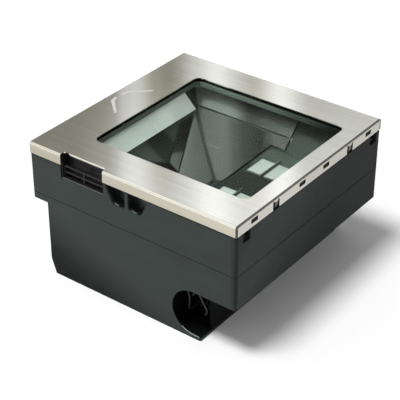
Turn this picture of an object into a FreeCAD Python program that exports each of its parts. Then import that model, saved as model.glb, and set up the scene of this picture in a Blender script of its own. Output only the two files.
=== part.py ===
import FreeCAD, Part
import math
import os
import Sketcher

# In-counter barcode reader: a stainless platter with a glass window on a two-part
# moulded housing, with folded mirrors, lamps and a camera inside and a cable bay
# in the lower right front corner.  Millimetres, +Z up.  The origin is on the
# underside at the middle of the platter, the front faces -Y, the right side is +X.

doc = FreeCAD.newDocument("counter_scanner")

sizes = {
    # whole object
    "total_height": 172.0,
    "platter_width": 292.0,
    "platter_depth": 290.0,
    "optics_centre": 2.0,
    # stainless skin
    "sheet_thickness": 1.2,
    "flange_height": 14.0,
    "bend_radius": 2.4,
    "window_from_left": 55.0,
    "window_from_right": 22.0,
    "window_from_front": 48.0,
    "window_from_rear": 45.0,
    "window_corner": 8.5,
    "notch_from_left": 47.0,
    "notch_width": 62.0,
    "notch_depth": 7.5,
    "notch_corner": 2.5,
    "notch_play": 1.0,
    # light strokes on the left border
    "stroke_width": 4.0,
    "stroke_start": 4.6,
    "stroke_bend": 14.0,
    "stroke_end": 35.4,
    "stroke_start_inset": 9.3,
    "stroke_bend_inset": 11.3,
    "stroke_end_inset": 34.1,
    "stroke_play": 0.15,
    "stroke_lip": 1.5,
    "stroke_lip_height": 1.5,
    "stroke_foot_drop": 16.0,
    # inner frame of the platter, with the two side flanges
    "frame_gap": 0.8,
    "frame_thickness": 1.2,
    "corner_gap": 1.0,
    "side_window_width": 12.2,
    "side_window_height": 5.5,
    "side_window_drop": 4.3,
    "side_window_near": 24.0,
    "side_window_far": 114.7,
    "side_notch_spot": 74.5,
    "side_notch_width": 12.0,
    "side_tab_width": 6.0,
    "side_tab_lift": 3.0,
    "side_notch_drop": 3.2,
    # seals
    "platter_gasket_thickness": 1.0,
    "platter_gasket_width": 3.0,
    "gasket_inset": 0.5,
    "seam_gap": 0.8,
    "seam_gasket_inset": 1.0,
    "seam_gasket_width": 1.2,
    # upper housing
    "shell_gap": 0.3,
    "flush_inset": 0.2,
    "shoulder_gap": 0.6,
    "shell_wall": 3.0,
    "shell_corner": 2.0,
    "inner_corner": 1.5,
    "deck_ledge_reach": 6.0,
    "ledge_thickness": 3.0,
    "brim_ledge_reach": 8.0,
    "pocket_from_left": 46.0,
    "pocket_width": 64.0,
    "pocket_floor_drop": 32.5,
    "pocket_depth": 13.3,
    "pocket_play": 0.3,
    "grille_drop": 1.0,
    "grille_bar": 2.0,
    "grille_sill": 0.5,
    "grille_columns": 2,
    "grille_rows": 2,
    "spout_from_pocket": 32.7,
    "spout_rib": 4.0,
    "spout_mouth": 29.5,
    "spout_foot": 17.5,
    "spout_floor_drop": 39.3,
    "spout_corner": 7.0,
    "spout_depth": 11.3,
    "spout_wall": 2.0,
    "spout_skin": 1.2,
    "side_slot_spot": 128.0,
    "side_slot_width": 13.5,
    "side_slot_drop": 27.5,
    "side_slot_hidden": 2.0,
    # lower housing
    "seam_height": 106.0,
    "right_shelf_height": 63.5,
    "left_shelf_height": 98.0,
    "base_left": 125.0,
    "base_right": 99.0,
    "base_bevel_width": 7.5,
    "base_bevel_height": 22.0,
    "base_corner": 1.5,
    "rear_bevel_length": 12.5,
    "rear_bevel_height": 8.0,
    # cable bay
    "bay_arch_from_right": 10.0,
    "bay_lip": 4.5,
    "bay_depth": 48.8,
    "bay_width": 41.0,
    "bay_side_mouth": 21.3,
    "bay_roof_rise": 1.0,
    # screws
    "post_from_side": 11.3,
    "post_radius": 5.0,
    "post_pitch": 114.0,
    "screw_head_radius": 3.8,
    "screw_head_height": 2.6,
    "screw_shank_radius": 2.0,
    "screw_grip": 18.0,
    "pilot_spare": 2.0,
    "pilot_floor": 1.0,
    "head_well_play": 0.6,
    "shank_play": 0.25,
    "deep_well": 21.0,
    "shallow_well": 4.0,
    "small_head_radius": 2.7,
    "small_head_height": 1.8,
    "small_shank_radius": 1.3,
    "small_grip": 6.0,
    "drive_radius": 1.6,
    "drive_depth": 1.0,
    "brim_screw_from_wall": 4.0,
    "brim_screw_pitch": 72.0,
    "deck_screw_from_wall": 3.2,
    "deck_screw_pitch": 104.0,
    # window frame on the deck
    "deck_thickness": 3.0,
    "deck_play": 0.5,
    "deck_corner": 4.0,
    "glass_thickness": 4.0,
    "glass_overlap": 5.0,
    "window_gasket_thickness": 0.8,
    "window_reveal": 1.0,
    "glass_play": 0.5,
    "rim_width": 2.0,
    "rim_height": 2.4,
    "skirt_step": 3.0,
    "skirt_wall": 2.0,
    "skirt_steps": 3,
    # indicator board under the left border
    "indicator_board_thickness": 1.6,
    "indicator_board_margin": 4.5,
    "indicator_led_height": 0.8,
    "indicator_led_size": 2.4,
    "leds_per_stroke": 3,
    "standoff_radius": 2.5,
    "standoff_inset": 0.5,
    # mirror tub
    "tub_brim_drop": 22.0,
    "tub_brim_thickness": 2.5,
    "tub_brim_play": 1.0,
    "tub_brim_clear": 4.0,
    "tub_wall": 2.5,
    "tub_depth": 78.0,
    "groove_left": 21.0,
    "groove_right": 13.0,
    "groove_half_length": 41.0,
    "left_facet_run": 70.0,
    "left_facet_rise": 54.0,
    "long_facet_rise": 20.0,
    "shelf_rise": 45.0,
    "shelf_from_wall": 16.8,
    # mirrors
    "mirror_thickness": 3.0,
    "mirror_margin": 4.5,
    "mirror_gap": 1.5,
    "groove_margin": 2.0,
    "rear_mirror_right": 50.0,
    "rear_mirror_top_rise": 57.0,
    "long_mirror_half": 92.0,
    "facet_top_rise": 51.5,
    "strip_top_near": 56.0,
    "facet_apex": 85.0,
    "facet_split_rise": 21.0,
    "strip_foot_rise": 31.0,
    # lamps beside the camera
    "lamp_board_thickness": 1.0,
    "lamp_board_margin": 2.5,
    "tile_width": 20.5,
    "tile_length": 31.0,
    "tile_gap": 3.2,
    "tile_thickness": 1.4,
    "tile_base": 0.6,
    "tile_from_groove": 52.5,
    "tile_from_centre": 23.4,
    "fin_thickness": 1.2,
    "fin_height": 5.0,
    "fin_overrun": 5.0,
    # camera
    "camera_rise": 24.0,
    "barrel_radius": 7.0,
    "barrel_play": 0.4,
    "barrel_proud": 3.0,
    "camera_mount_depth": 12.0,
    "camera_mount_size": 34.0,
    "camera_board_thickness": 1.6,
    "lens_radius": 5.2,
    "lens_recess": 1.5,
    "lens_thickness": 3.0,
    # main board
    "board_height": 12.0,
    "board_thickness": 1.6,
    "board_left": 104.0,
    "board_right": 46.0,
    "board_half_depth": 124.0,
    "board_post_inset": 6.0,
    "board_post_radius": 4.0,
    "shield_from_left": 12.0,
    "shield_from_middle": 14.0,
    "shield_sheet": 0.6,
    "shield_width": 64.0,
    "shield_length": 84.0,
    "shield_height": 11.0,
    "sink_from_left": 20.0,
    "sink_from_middle": 36.0,
    "sink_width": 46.0,
    "sink_length": 40.0,
    "sink_base": 3.0,
    "sink_height": 18.0,
    "sink_fin": 1.6,
    "sink_fins": 9,
    "can_radius": 6.5,
    "can_height": 20.0,
    "can_pitch": 20.0,
    "cans": 3,
    "can_from_middle": 20.0,
    "can_column": 8.0,
    # ports in the cable bay
    "port_board_gap": 1.0,
    "port_board_thickness": 1.6,
    "port_board_overlap": 2.0,
    "port_board_play": 0.5,
    "port_board_top": 56.0,
    "port_width": 13.0,
    "port_height": 11.0,
    "port_reach": 6.0,
    "port_play": 0.3,
    "port_column_pitch": 17.0,
    "port_row_pitch": 19.0,
    "port_first_height": 17.0,
    "plug_width": 9.0,
    "plug_height": 7.0,
    "plug_length": 12.0,
    "plug_grip": 4.0,
    "lead_radius": 1.1,
    "lead_tail": 12.0,
    "lead_inset": 6.0,
    "lead_pitch": 9.0,
    "lead_front": 13.3,
    "lead_stagger": 4.0,
    "grommet_radius": 3.6,
    "grommet_corner": 2.0,
    "grommet_flange": 1.6,
    "grommet_play": 0.1,
    # speaker
    "speaker_radius": 9.5,
    "speaker_depth": 7.5,
    "speaker_rim": 2.5,
    "speaker_magnet_radius": 5.7,
    "speaker_height_drop": 20.5,
}

sheet = doc.addObject("Spreadsheet::Sheet", "Sizes")
for row, (name, number) in enumerate(sizes.items(), start=1):
    sheet.set("A%d" % row, name)
    sheet.set("B%d" % row, str(number))
    sheet.setAlias("B%d" % row, name)
doc.recompute()


class Length:
    """A number together with the sheet expression that gives it."""

    def __init__(self, value, text):
        self.value = value
        self.text = text

    def join(self, other, sign, value):
        return Length(value, "(%s %s %s)" % (self.text, sign, as_length(other).text))

    def __add__(self, other):
        return self.join(other, "+", self.value + as_length(other).value)

    def __sub__(self, other):
        return self.join(other, "-", self.value - as_length(other).value)

    def __mul__(self, other):
        return self.join(other, "*", self.value * as_length(other).value)

    def __truediv__(self, other):
        return self.join(other, "/", self.value / as_length(other).value)

    def __radd__(self, other):
        return as_length(other) + self

    def __rsub__(self, other):
        return as_length(other) - self

    def __rmul__(self, other):
        return as_length(other) * self

    def __neg__(self):
        return Length(-self.value, "(0 - %s)" % self.text)

    def whole(self):
        return int(round(self.value))


def as_length(number):
    return number if isinstance(number, Length) else Length(float(number), repr(float(number)))


class Sizes:
    """The sheet's cells as lengths: s.total_height and so on."""

    def __init__(self):
        for name, number in sizes.items():
            setattr(self, name, Length(number, "Sizes." + name))


s = Sizes()


def bind(thing, prop, length):
    thing.setExpression(prop, as_length(length).text)


def slope_angle(rise, run):
    return Length(math.degrees(math.atan2(rise.value, run.value)), "atan(%s / %s)" % (rise.text, run.text))


def hypotenuse(rise, run):
    value = math.hypot(rise.value, run.value)
    return Length(value, "sqrt(%s * %s + %s * %s)" % (rise.text, rise.text, run.text, run.text))


# How far a cut runs past the faces that it opens.
past = 1.0

# Heights and half sizes that several pieces share.
top = s.total_height
half_x = s.platter_width / 2
half_y = s.platter_depth / 2
centre = s.optics_centre
skin_under = top - s.sheet_thickness
flange_foot = top - s.flange_height
frame_top = skin_under - s.frame_gap
frame_under = frame_top - s.frame_thickness
rim_top = frame_under - s.platter_gasket_thickness
rim_x = half_x - s.sheet_thickness - s.shell_gap
rim_y = half_y - s.sheet_thickness - s.shell_gap
body_x = half_x - s.flush_inset
body_y = half_y - s.flush_inset
shoulder = flange_foot - s.shoulder_gap
inner_x = body_x - s.shell_wall
inner_y = body_y - s.shell_wall
window_x0 = s.window_from_left - half_x
window_x1 = half_x - s.window_from_right
window_y0 = s.window_from_front - half_y
window_y1 = half_y - s.window_from_rear
glass_top = skin_under - s.window_gasket_thickness
glass_under = glass_top - s.glass_thickness
deck_under = glass_under - s.deck_thickness
brim_top = top - s.tub_brim_drop
brim_under = brim_top - s.tub_brim_thickness
groove_z = brim_top - s.tub_depth
shelf_z = groove_z + s.shelf_rise
shelf_end = inner_x - s.shelf_from_wall
notch_x0 = s.notch_from_left - half_x
notch_x1 = notch_x0 + s.notch_width
pocket_x0 = s.pocket_from_left - half_x
pocket_x1 = pocket_x0 + s.pocket_width
pocket_floor = top - s.pocket_floor_drop
pocket_back = s.pocket_depth - body_y
spout_centre = pocket_x1 + s.spout_from_pocket
upper_foot = s.seam_height + s.seam_gap


def rect(x0, y0, x1, y1):
    return [(x0, y0), (x1, y0), (x1, y1), (x0, y1)]


def grown(outline, margin):
    """A rectangle made larger by a margin on every side."""
    (x0, y0), (x1, y1) = outline[0], outline[2]
    return rect(x0 - margin, y0 - margin, x1 + margin, y1 + margin)


def about(x, y, width, height):
    """A rectangle about its middle."""
    return rect(x - width / 2, y - height / 2, x + width / 2, y + height / 2)


def disc(x, y, radius):
    return ("disc", x, y, radius)


def polygon(x, y, radius, sides):
    """A regular polygon with a flat towards +X, given by its radius across corners."""
    turns = [math.pi * (2 * number + 1) / sides for number in range(sides)]
    return [(x + radius * math.cos(turn), y + radius * math.sin(turn)) for turn in turns]


window_outline = rect(window_x0, window_y0, window_x1, window_y1)
glass_outline = grown(window_outline, s.glass_overlap)


def new_body(name):
    body = doc.addObject("PartDesign::Body", name)
    body.Label = name
    body.AllowCompound = True
    return body


def hold(sketch, geometry, point, x, y):
    """Fix a point of a sketch at its two distances from the origin."""
    for kind, length in (("DistanceX", x), ("DistanceY", y)):
        length = as_length(length)
        index = sketch.addConstraint(Sketcher.Constraint(kind, -1, 1, geometry, point, length.value))
        sketch.setExpression("Constraints[%d]" % index, length.text)


def draw(sketch, outline):
    if outline[0] == "disc":
        _, x, y, radius = outline
        x, y, radius = as_length(x), as_length(y), as_length(radius)
        middle = FreeCAD.Vector(x.value, y.value, 0)
        circle = sketch.addGeometry(Part.Circle(middle, FreeCAD.Vector(0, 0, 1), radius.value), False)
        hold(sketch, circle, 3, x, y)
        index = sketch.addConstraint(Sketcher.Constraint("Radius", circle, radius.value))
        sketch.setExpression("Constraints[%d]" % index, radius.text)
        return
    corners = [FreeCAD.Vector(as_length(x).value, as_length(y).value, 0) for x, y in outline]
    lines = []
    for a, b in zip(corners, corners[1:] + corners[:1]):
        lines.append(sketch.addGeometry(Part.LineSegment(a, b), False))
    for line, following in zip(lines, lines[1:] + lines[:1]):
        sketch.addConstraint(Sketcher.Constraint("Coincident", line, 2, following, 1))
    for line, (x, y) in zip(lines, outline):
        hold(sketch, line, 1, x, y)


def new_sketch(body, plane, outlines, level):
    """Sketch on one of the body's own planes: XY, XZ (seen from the front) or YZ."""
    name = "%s_%s" % (body.Name, "outline")
    sketch = body.newObject("Sketcher::SketchObject", name)
    support = [item for item in body.Origin.OriginFeatures if item.Role == plane + "_Plane"][0]
    sketch.AttachmentSupport = (support, [""])
    sketch.MapMode = "FlatFace"
    # The XZ plane looks towards -Y, so its level is turned round.
    bind(sketch, "AttachmentOffset.Base.z", -as_length(level) if plane == "XZ" else level)
    for outline in outlines:
        draw(sketch, outline)
    return sketch


def check_change(body, before, grows, what):
    doc.recompute()
    change = body.Shape.Volume - before
    if (change <= 0.0) if grows else (change >= 0.0):
        raise RuntimeError("%s of %s changed nothing" % (what, body.Label))


def add(body, plane, outlines, start, end):
    """Pad the outlines from start to end along the plane's own axis."""
    before = body.Shape.Volume if body.Tip else 0.0
    pad = body.newObject("PartDesign::Pad", body.Name + "_pad")
    pad.Profile = new_sketch(body, plane, outlines, start)
    bind(pad, "Length", as_length(end) - start)
    pad.Reversed = plane == "XZ"
    check_change(body, before, True, "pad")
    return pad


def cut(body, plane, outlines, start, end):
    """Pocket the outlines from start to end along the plane's own axis."""
    before = body.Shape.Volume
    pocket = body.newObject("PartDesign::Pocket", body.Name + "_pocket")
    pocket.Profile = new_sketch(body, plane, outlines, start)
    bind(pocket, "Length", as_length(end) - start)
    pocket.Reversed = plane != "XZ"
    check_change(body, before, False, "pocket")
    return pocket


def edges_along(shape, axis, spots, span=None):
    """Names of the straight edges along an axis that pass through the given spots."""
    along = "XYZ".index(axis)
    across = [i for i in range(3) if i != along]
    found = []
    for number, edge in enumerate(shape.Edges, start=1):
        if len(edge.Vertexes) != 2:
            continue
        a, b = edge.Vertexes[0].Point, edge.Vertexes[1].Point
        if abs(a[across[0]] - b[across[0]]) > 1e-4 or abs(a[across[1]] - b[across[1]]) > 1e-4:
            continue
        middle = (a[along] + b[along]) / 2
        if span and not span[0] < middle < span[1]:
            continue
        for u, v in spots:
            u, v = as_length(u).value, as_length(v).value
            if abs(a[across[0]] - u) < 1e-3 and abs(a[across[1]] - v) < 1e-3:
                found.append("Edge%d" % number)
                break
    return found


def soften(body, axis, spots, radius, kind="Fillet", span=None):
    """Round or bevel the edges along an axis at the given spots."""
    names = edges_along(body.Shape, axis, spots, span)
    if not names:
        raise RuntimeError("no edge to round on " + body.Label)
    solid = body.Tip
    feature = body.newObject("PartDesign::" + kind, body.Name + "_" + kind.lower())
    feature.Base = (solid, names)
    bind(feature, "Radius" if kind == "Fillet" else "Size", radius)
    doc.recompute()
    return feature


def seat(body, base, axis, angle):
    """Place a body whose own outline lies in a tilted plane."""
    placement = FreeCAD.Placement(FreeCAD.Vector(0, 0, 0), FreeCAD.Rotation(axis, as_length(angle).value))
    body.Placement = placement
    for name, length in zip("xyz", base):
        bind(body, "Placement.Base." + name, length)
    bind(body, "Placement.Rotation.Angle", angle)
    doc.recompute()


across_x = FreeCAD.Vector(1, 0, 0)
across_y = FreeCAD.Vector(0, 1, 0)


def stroke_outline(side, margin):
    """One bent light stroke on the left border; side is +1 towards the rear."""
    wide = s.stroke_width / 2 + margin
    start_x = s.stroke_start_inset - half_x
    bend_x = s.stroke_bend_inset - half_x
    end_x = s.stroke_end_inset - half_x
    near = centre + side * (s.stroke_start - margin)
    bend = centre + side * s.stroke_bend
    far = centre + side * s.stroke_end
    return [(start_x - wide, near), (start_x + wide, near), (bend_x + wide, bend - side * wide),
            (end_x + margin, far - side * wide), (end_x + margin, far + side * wide),
            (bend_x - wide, bend + side * wide / 2)]


def make_platter():
    body = new_body("platter")
    add(body, "XY", [rect(-half_x, -half_y, half_x, half_y)], skin_under, top)
    for side in (-1, 1):
        outer = half_y * side
        inner = (half_y - s.sheet_thickness) * side
        low, high = (outer, inner) if side < 0 else (inner, outer)
        add(body, "XY", [rect(-half_x, low, half_x, high)], flange_foot, skin_under)
    back = s.notch_depth - half_y
    cut(body, "XY", [rect(notch_x0, -half_y - past, notch_x1, back)], flange_foot - past, top + past)
    soften(body, "Z", [(notch_x0, back), (notch_x1, back)], s.notch_corner)
    cut(body, "XY", [window_outline], skin_under - past, top + past)
    soften(body, "Z", window_outline, s.window_corner)
    inner_bend = s.bend_radius - s.sheet_thickness
    fold = half_y - s.sheet_thickness
    soften(body, "X", [(-half_y, top), (half_y, top)], s.bend_radius)
    soften(body, "X", [(-fold, skin_under), (fold, skin_under)], inner_bend)
    cut(body, "XY", [stroke_outline(side, s.stroke_play) for side in (-1, 1)], skin_under - past, top + past)


def make_platter_frame():
    body = new_body("platter_frame")
    depth = half_y - s.sheet_thickness - s.corner_gap
    inner_side = half_x - s.frame_thickness
    add(body, "XY", [rect(-half_x, -depth, half_x, depth)], frame_under, frame_top)
    for low, high in ((-half_x, -inner_side), (inner_side, half_x)):
        add(body, "XY", [rect(low, -depth, high, depth)], flange_foot, frame_under)
    rim = grown(glass_outline, s.glass_play + s.rim_width + s.glass_play)
    cut(body, "XY", [rim], frame_under - past, frame_top + past)
    soften(body, "Z", rim, s.window_corner)
    back = s.notch_depth - half_y + s.notch_play
    cut(body, "XY", [rect(notch_x0 - s.notch_play, -depth - past, notch_x1 + s.notch_play, back)],
        frame_under - past, frame_top + past)
    cut(body, "XY", [stroke_outline(side, s.stroke_play * 2) for side in (-1, 1)], frame_under - past,
        frame_top + past)
    window_top = top - s.side_window_drop
    windows = []
    for spot in (-s.side_window_far, -s.side_window_near, s.side_window_near, s.side_window_far):
        y0 = centre + spot - s.side_window_width / 2
        windows.append(rect(y0, window_top - s.side_window_height, y0 + s.side_window_width, window_top))
    cut(body, "YZ", windows, -half_x - past, half_x + past)
    notch_top = top - s.side_notch_drop
    slots = []
    for spot in (-s.side_notch_spot, s.side_notch_spot):
        y0 = centre + spot - s.side_notch_width / 2
        y3 = y0 + s.side_notch_width
        y1 = y0 + s.side_tab_width / 2
        y2 = y1 + s.side_tab_width
        foot = flange_foot - past
        tab_foot = flange_foot + s.side_tab_lift
        slots.append([(y0, foot), (y3, foot), (y3, notch_top), (y2, notch_top), (y2, tab_foot),
                      (y1, tab_foot), (y1, notch_top), (y0, notch_top)])
    cut(body, "YZ", slots, -half_x - past, half_x + past)


def make_platter_gasket():
    body = new_body("platter_gasket")
    outer = grown(rect(-rim_x, -rim_y, rim_x, rim_y), -s.gasket_inset)
    inner = grown(outer, -s.platter_gasket_width)
    add(body, "XY", [outer, inner], rim_top, frame_under)
    cut(body, "XY", [rect(pocket_x0 - s.pocket_play, -rim_y - past, pocket_x1 + s.pocket_play, pocket_back)],
        rim_top - past, frame_under + past)


post_spots = [-s.post_pitch, s.post_pitch]
post_x = body_x - s.post_from_side
screw_wells = ((1, s.right_shelf_height, s.deep_well), (-1, s.left_shelf_height, s.shallow_well))
brim_screw_x = inner_x - s.brim_screw_from_wall
brim_screws = [(x, centre + y) for x in (-brim_screw_x, brim_screw_x)
               for y in (-s.brim_screw_pitch, s.brim_screw_pitch)]
deck_screw_x = inner_x - s.deck_screw_from_wall
deck_screws = [(x, centre + y) for x in (-deck_screw_x, deck_screw_x)
               for y in (-s.deck_screw_pitch, s.deck_screw_pitch)]


def spout_outlines(margin, head):
    """The two drain mouths, mirrored about the rib between them, seen from the front."""
    floor = top - s.spout_floor_drop - margin
    outlines = []
    for side in (-1, 1):
        near = spout_centre + side * (s.spout_rib / 2 - margin)
        mouth = spout_centre + side * (s.spout_rib / 2 + s.spout_mouth + margin)
        foot = spout_centre + side * (s.spout_rib / 2 + s.spout_foot + margin)
        outlines.append([(near, floor), (foot, floor), (mouth, flange_foot), (mouth, head), (near, head)])
    return outlines


def spout_corners(margin):
    return [point for outline in spout_outlines(margin, top) for point in outline[:2]]


indicator_top = top - s.stroke_foot_drop - s.indicator_led_height


def indicator_outline():
    x0 = s.stroke_start_inset - half_x - s.indicator_board_margin
    x1 = s.stroke_end_inset - half_x + s.indicator_board_margin
    reach = s.stroke_end + s.indicator_board_margin * 2
    return rect(x0, centre - reach, x1, centre + reach)


def make_upper_housing():
    body = new_body("upper_housing")
    outer = rect(-body_x, -body_y, body_x, body_y)
    inner = rect(-inner_x, -inner_y, inner_x, inner_y)
    add(body, "XY", [outer], upper_foot, rim_top)
    soften(body, "Z", outer, s.shell_corner)
    # The rim steps in behind the flanges, so that the walls below lie flush with them.
    rim = rect(-rim_x, -rim_y, rim_x, rim_y)
    cut(body, "XY", [grown(outer, past), rim], shoulder, rim_top + past)
    cut(body, "XY", [inner], upper_foot - past, rim_top + past)
    soften(body, "Z", inner, s.inner_corner)
    brim_ledge = brim_under - s.ledge_thickness
    deck_ledge = deck_under - s.ledge_thickness
    add(body, "XY", [inner, grown(inner, -s.brim_ledge_reach)], brim_ledge, brim_under)
    add(body, "XY", [inner, grown(inner, -s.deck_ledge_reach)], deck_ledge, deck_under)
    # Screw posts under the lower ledge, each tied to the side wall by a rib.
    posts = []
    ribs = []
    for side in (-1, 1):
        for spot in post_spots:
            posts.append(disc(post_x * side, centre + spot, s.post_radius))
            rib = sorted(((post_x + s.post_radius / 2) * side, inner_x * side), key=lambda x: x.value)
            half_rib = s.shell_wall / 2
            ribs.append(rect(rib[0], centre + spot - half_rib, rib[1], centre + spot + half_rib))
    add(body, "XY", posts, upper_foot, brim_ledge)
    add(body, "XY", ribs, upper_foot, brim_ledge)
    pilots = [disc(post_x * side, centre + spot, s.screw_shank_radius) for side in (-1, 1)
              for spot in post_spots]
    cut(body, "XY", pilots, upper_foot - past, upper_foot + s.screw_grip)
    for spots, foot, head in ((brim_screws, brim_ledge, brim_under), (deck_screws, deck_ledge, deck_under)):
        cut(body, "XY", [disc(x, y, s.small_shank_radius) for x, y in spots], foot - past, head + past)
    # Room in the deck's ledge for the light pipes, which start close to the wall.
    (_, pipe_y0), (_, pipe_y1) = indicator_outline()[0], indicator_outline()[2]
    cut(body, "XY", [rect(-inner_x, pipe_y0, s.deck_ledge_reach + past - inner_x, pipe_y1)], deck_ledge - past,
        deck_under + past)
    # Finger pocket, open at the top, then the two drain mouths and the room behind them.
    pocket = rect(pocket_x0, -body_y - past, pocket_x1, pocket_back + s.speaker_depth + past)
    cut(body, "XY", [pocket], pocket_floor, rim_top + past)
    cut(body, "XZ", spout_outlines(0, flange_foot + s.side_slot_hidden), -body_y - past, past - inner_y)
    soften(body, "Y", spout_corners(0), s.spout_corner)
    behind = s.spout_rib / 2 + s.spout_mouth + s.spout_skin + s.pocket_play
    room_floor = top - s.spout_floor_drop - s.spout_skin - s.pocket_play
    room = rect(spout_centre - behind, room_floor, spout_centre + behind, deck_ledge)
    cut(body, "XZ", [room], -inner_y, s.spout_depth + s.spout_skin + s.pocket_play - body_y)
    slots = []
    slot_foot, slot_head = top - s.side_slot_drop, flange_foot + s.side_slot_hidden
    for spot in (-s.side_slot_spot, s.side_slot_spot):
        y0 = centre + spot - s.side_slot_width / 2
        slots.append(rect(y0, slot_foot, y0 + s.side_slot_width, slot_head))
    cut(body, "YZ", slots, inner_x - past, body_x + past)
    cut(body, "YZ", slots, -body_x - past, past - inner_x)


def lower_profile(inset, over):
    """Front view of the lower housing: a wide band on a narrower box."""
    left, right = -s.base_left + inset, s.base_right - inset
    lean = s.base_bevel_width * inset / s.base_bevel_height
    bevel_x = left + s.base_bevel_width - lean
    return [(-body_x + inset, s.seam_height + over), (-body_x + inset, s.left_shelf_height + inset),
            (left, s.left_shelf_height + inset), (left, s.base_bevel_height), (bevel_x, inset), (right, inset),
            (right, s.right_shelf_height + inset), (body_x - inset, s.right_shelf_height + inset),
            (body_x - inset, s.seam_height + over)]


bay_x1 = s.base_right - s.shell_wall
bay_x0 = bay_x1 - s.bay_width + s.shell_wall
bay_y0 = -inner_y
bay_y1 = s.bay_depth - body_y
bay_arch_x = s.base_right - s.bay_arch_from_right
bay_arch_radius = (s.right_shelf_height - s.bay_lip) / 2
bay_roof = s.right_shelf_height + s.bay_roof_rise
bay_roof_top = bay_roof + s.shell_wall
bay_middle = (bay_x0 + bay_x1) / 2
port_columns = [bay_middle - s.port_column_pitch / 2, bay_middle + s.port_column_pitch / 2]
port_rows = [s.port_first_height, s.port_first_height + s.port_row_pitch]
ports = [(x, z) for x in port_columns for z in port_rows]
board_posts = [(x, y) for x in (s.board_post_inset - s.board_left, s.board_right - s.board_post_inset)
               for y in (s.board_post_inset - s.board_half_depth, s.board_half_depth - s.board_post_inset)]
# Leads this thin are drawn with few sides.
lead_sides = 6
# Where the three leads pass the roof of the bay; the middle one stands further back.
lead_entries = [(bay_x0 + s.lead_inset + s.lead_pitch * number, bay_y0 + s.lead_front + back)
                for number, back in enumerate((0, s.lead_stagger, 0))]


def make_lower_housing():
    body = new_body("lower_housing")
    add(body, "XZ", [lower_profile(as_length(0), as_length(0))], -body_y, body_y)
    soften(body, "Z", rect(-body_x, -body_y, body_x, body_y), s.shell_corner)
    soften(body, "Z", [(-s.base_left, -body_y), (-s.base_left, body_y), (s.base_right, -body_y),
                       (s.base_right, body_y)], s.base_corner)
    bevel = [(body_y - s.rear_bevel_length, 0), (body_y, s.rear_bevel_height),
             (body_y + past, s.rear_bevel_height), (body_y + past, -past), (body_y - s.rear_bevel_length, -past)]
    cut(body, "YZ", [bevel], -s.base_left - past, s.base_right + past)
    cavity_y = inner_y
    cut(body, "XZ", [lower_profile(s.shell_wall, as_length(past))], -cavity_y, cavity_y)
    # The bevel at the rear keeps a full wall behind it.
    fill = [(cavity_y - s.rear_bevel_length, s.shell_wall), (cavity_y, s.shell_wall),
            (cavity_y, s.rear_bevel_height + s.shell_wall)]
    add(body, "YZ", [fill], s.shell_wall + s.base_bevel_width - s.base_left, s.base_right - s.shell_wall)
    # Cable bay: side wall, back wall and roof, then its mouth in the front and right walls.
    wall = s.shell_wall
    mouth_top = s.right_shelf_height
    add(body, "XY", [rect(bay_x0 - wall, bay_y0, bay_x0, bay_y1 + wall)], wall, bay_roof_top)
    add(body, "XY", [rect(bay_x0, bay_y1, bay_x1, bay_y1 + wall)], wall, bay_roof_top)
    add(body, "XY", [rect(bay_x0, bay_y0, bay_x1, bay_y1)], bay_roof, bay_roof_top)
    cut(body, "XZ", [disc(bay_arch_x, s.bay_lip + bay_arch_radius, bay_arch_radius)], -body_y - past, bay_y0)
    cut(body, "XZ", [rect(bay_arch_x, s.bay_lip, s.base_right + past, mouth_top)], -body_y - past, bay_y0)
    side_mouth = rect(bay_x1, -body_y - past, s.base_right + past, s.bay_side_mouth - body_y)
    cut(body, "XY", [side_mouth], s.bay_lip, mouth_top)
    openings = [grown(about(x, z, s.port_width, s.port_height), s.port_play) for x, z in ports]
    cut(body, "XZ", openings, bay_y1 - past, bay_y1 + wall + past)
    cut(body, "XY", [grommet_outline(0)], bay_roof - past, bay_roof_top + past)
    # Screw wells: deep ones under the right shelf, shallow ones under the left.
    wells = []
    for side, shelf, depth in screw_wells:
        spots = [(post_x * side, centre + spot) for spot in post_spots]
        add(body, "XY", [disc(x, y, s.post_radius) for x, y in spots], shelf + wall, s.seam_height)
        wells.append((spots, shelf, depth))
    for spots, shelf, depth in wells:
        well = s.screw_head_radius + s.head_well_play
        cut(body, "XY", [disc(x, y, well) for x, y in spots], shelf - past, shelf + depth)
        hole = s.screw_shank_radius + s.shank_play
        cut(body, "XY", [disc(x, y, hole) for x, y in spots], shelf + depth - past, s.seam_height + past)
    add(body, "XY", [disc(x, y, s.board_post_radius) for x, y in board_posts], wall, s.board_height)
    pilots = [disc(x, y, s.small_shank_radius) for x, y in board_posts]
    cut(body, "XY", pilots, wall + s.pilot_floor, s.board_height + past)


def make_housing_gasket():
    body = new_body("housing_gasket")
    outer = grown(rect(-body_x, -body_y, body_x, body_y), -s.seam_gasket_inset)
    inner = grown(outer, -s.seam_gasket_width)
    add(body, "XY", [outer, inner], s.seam_height, upper_foot)


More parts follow.
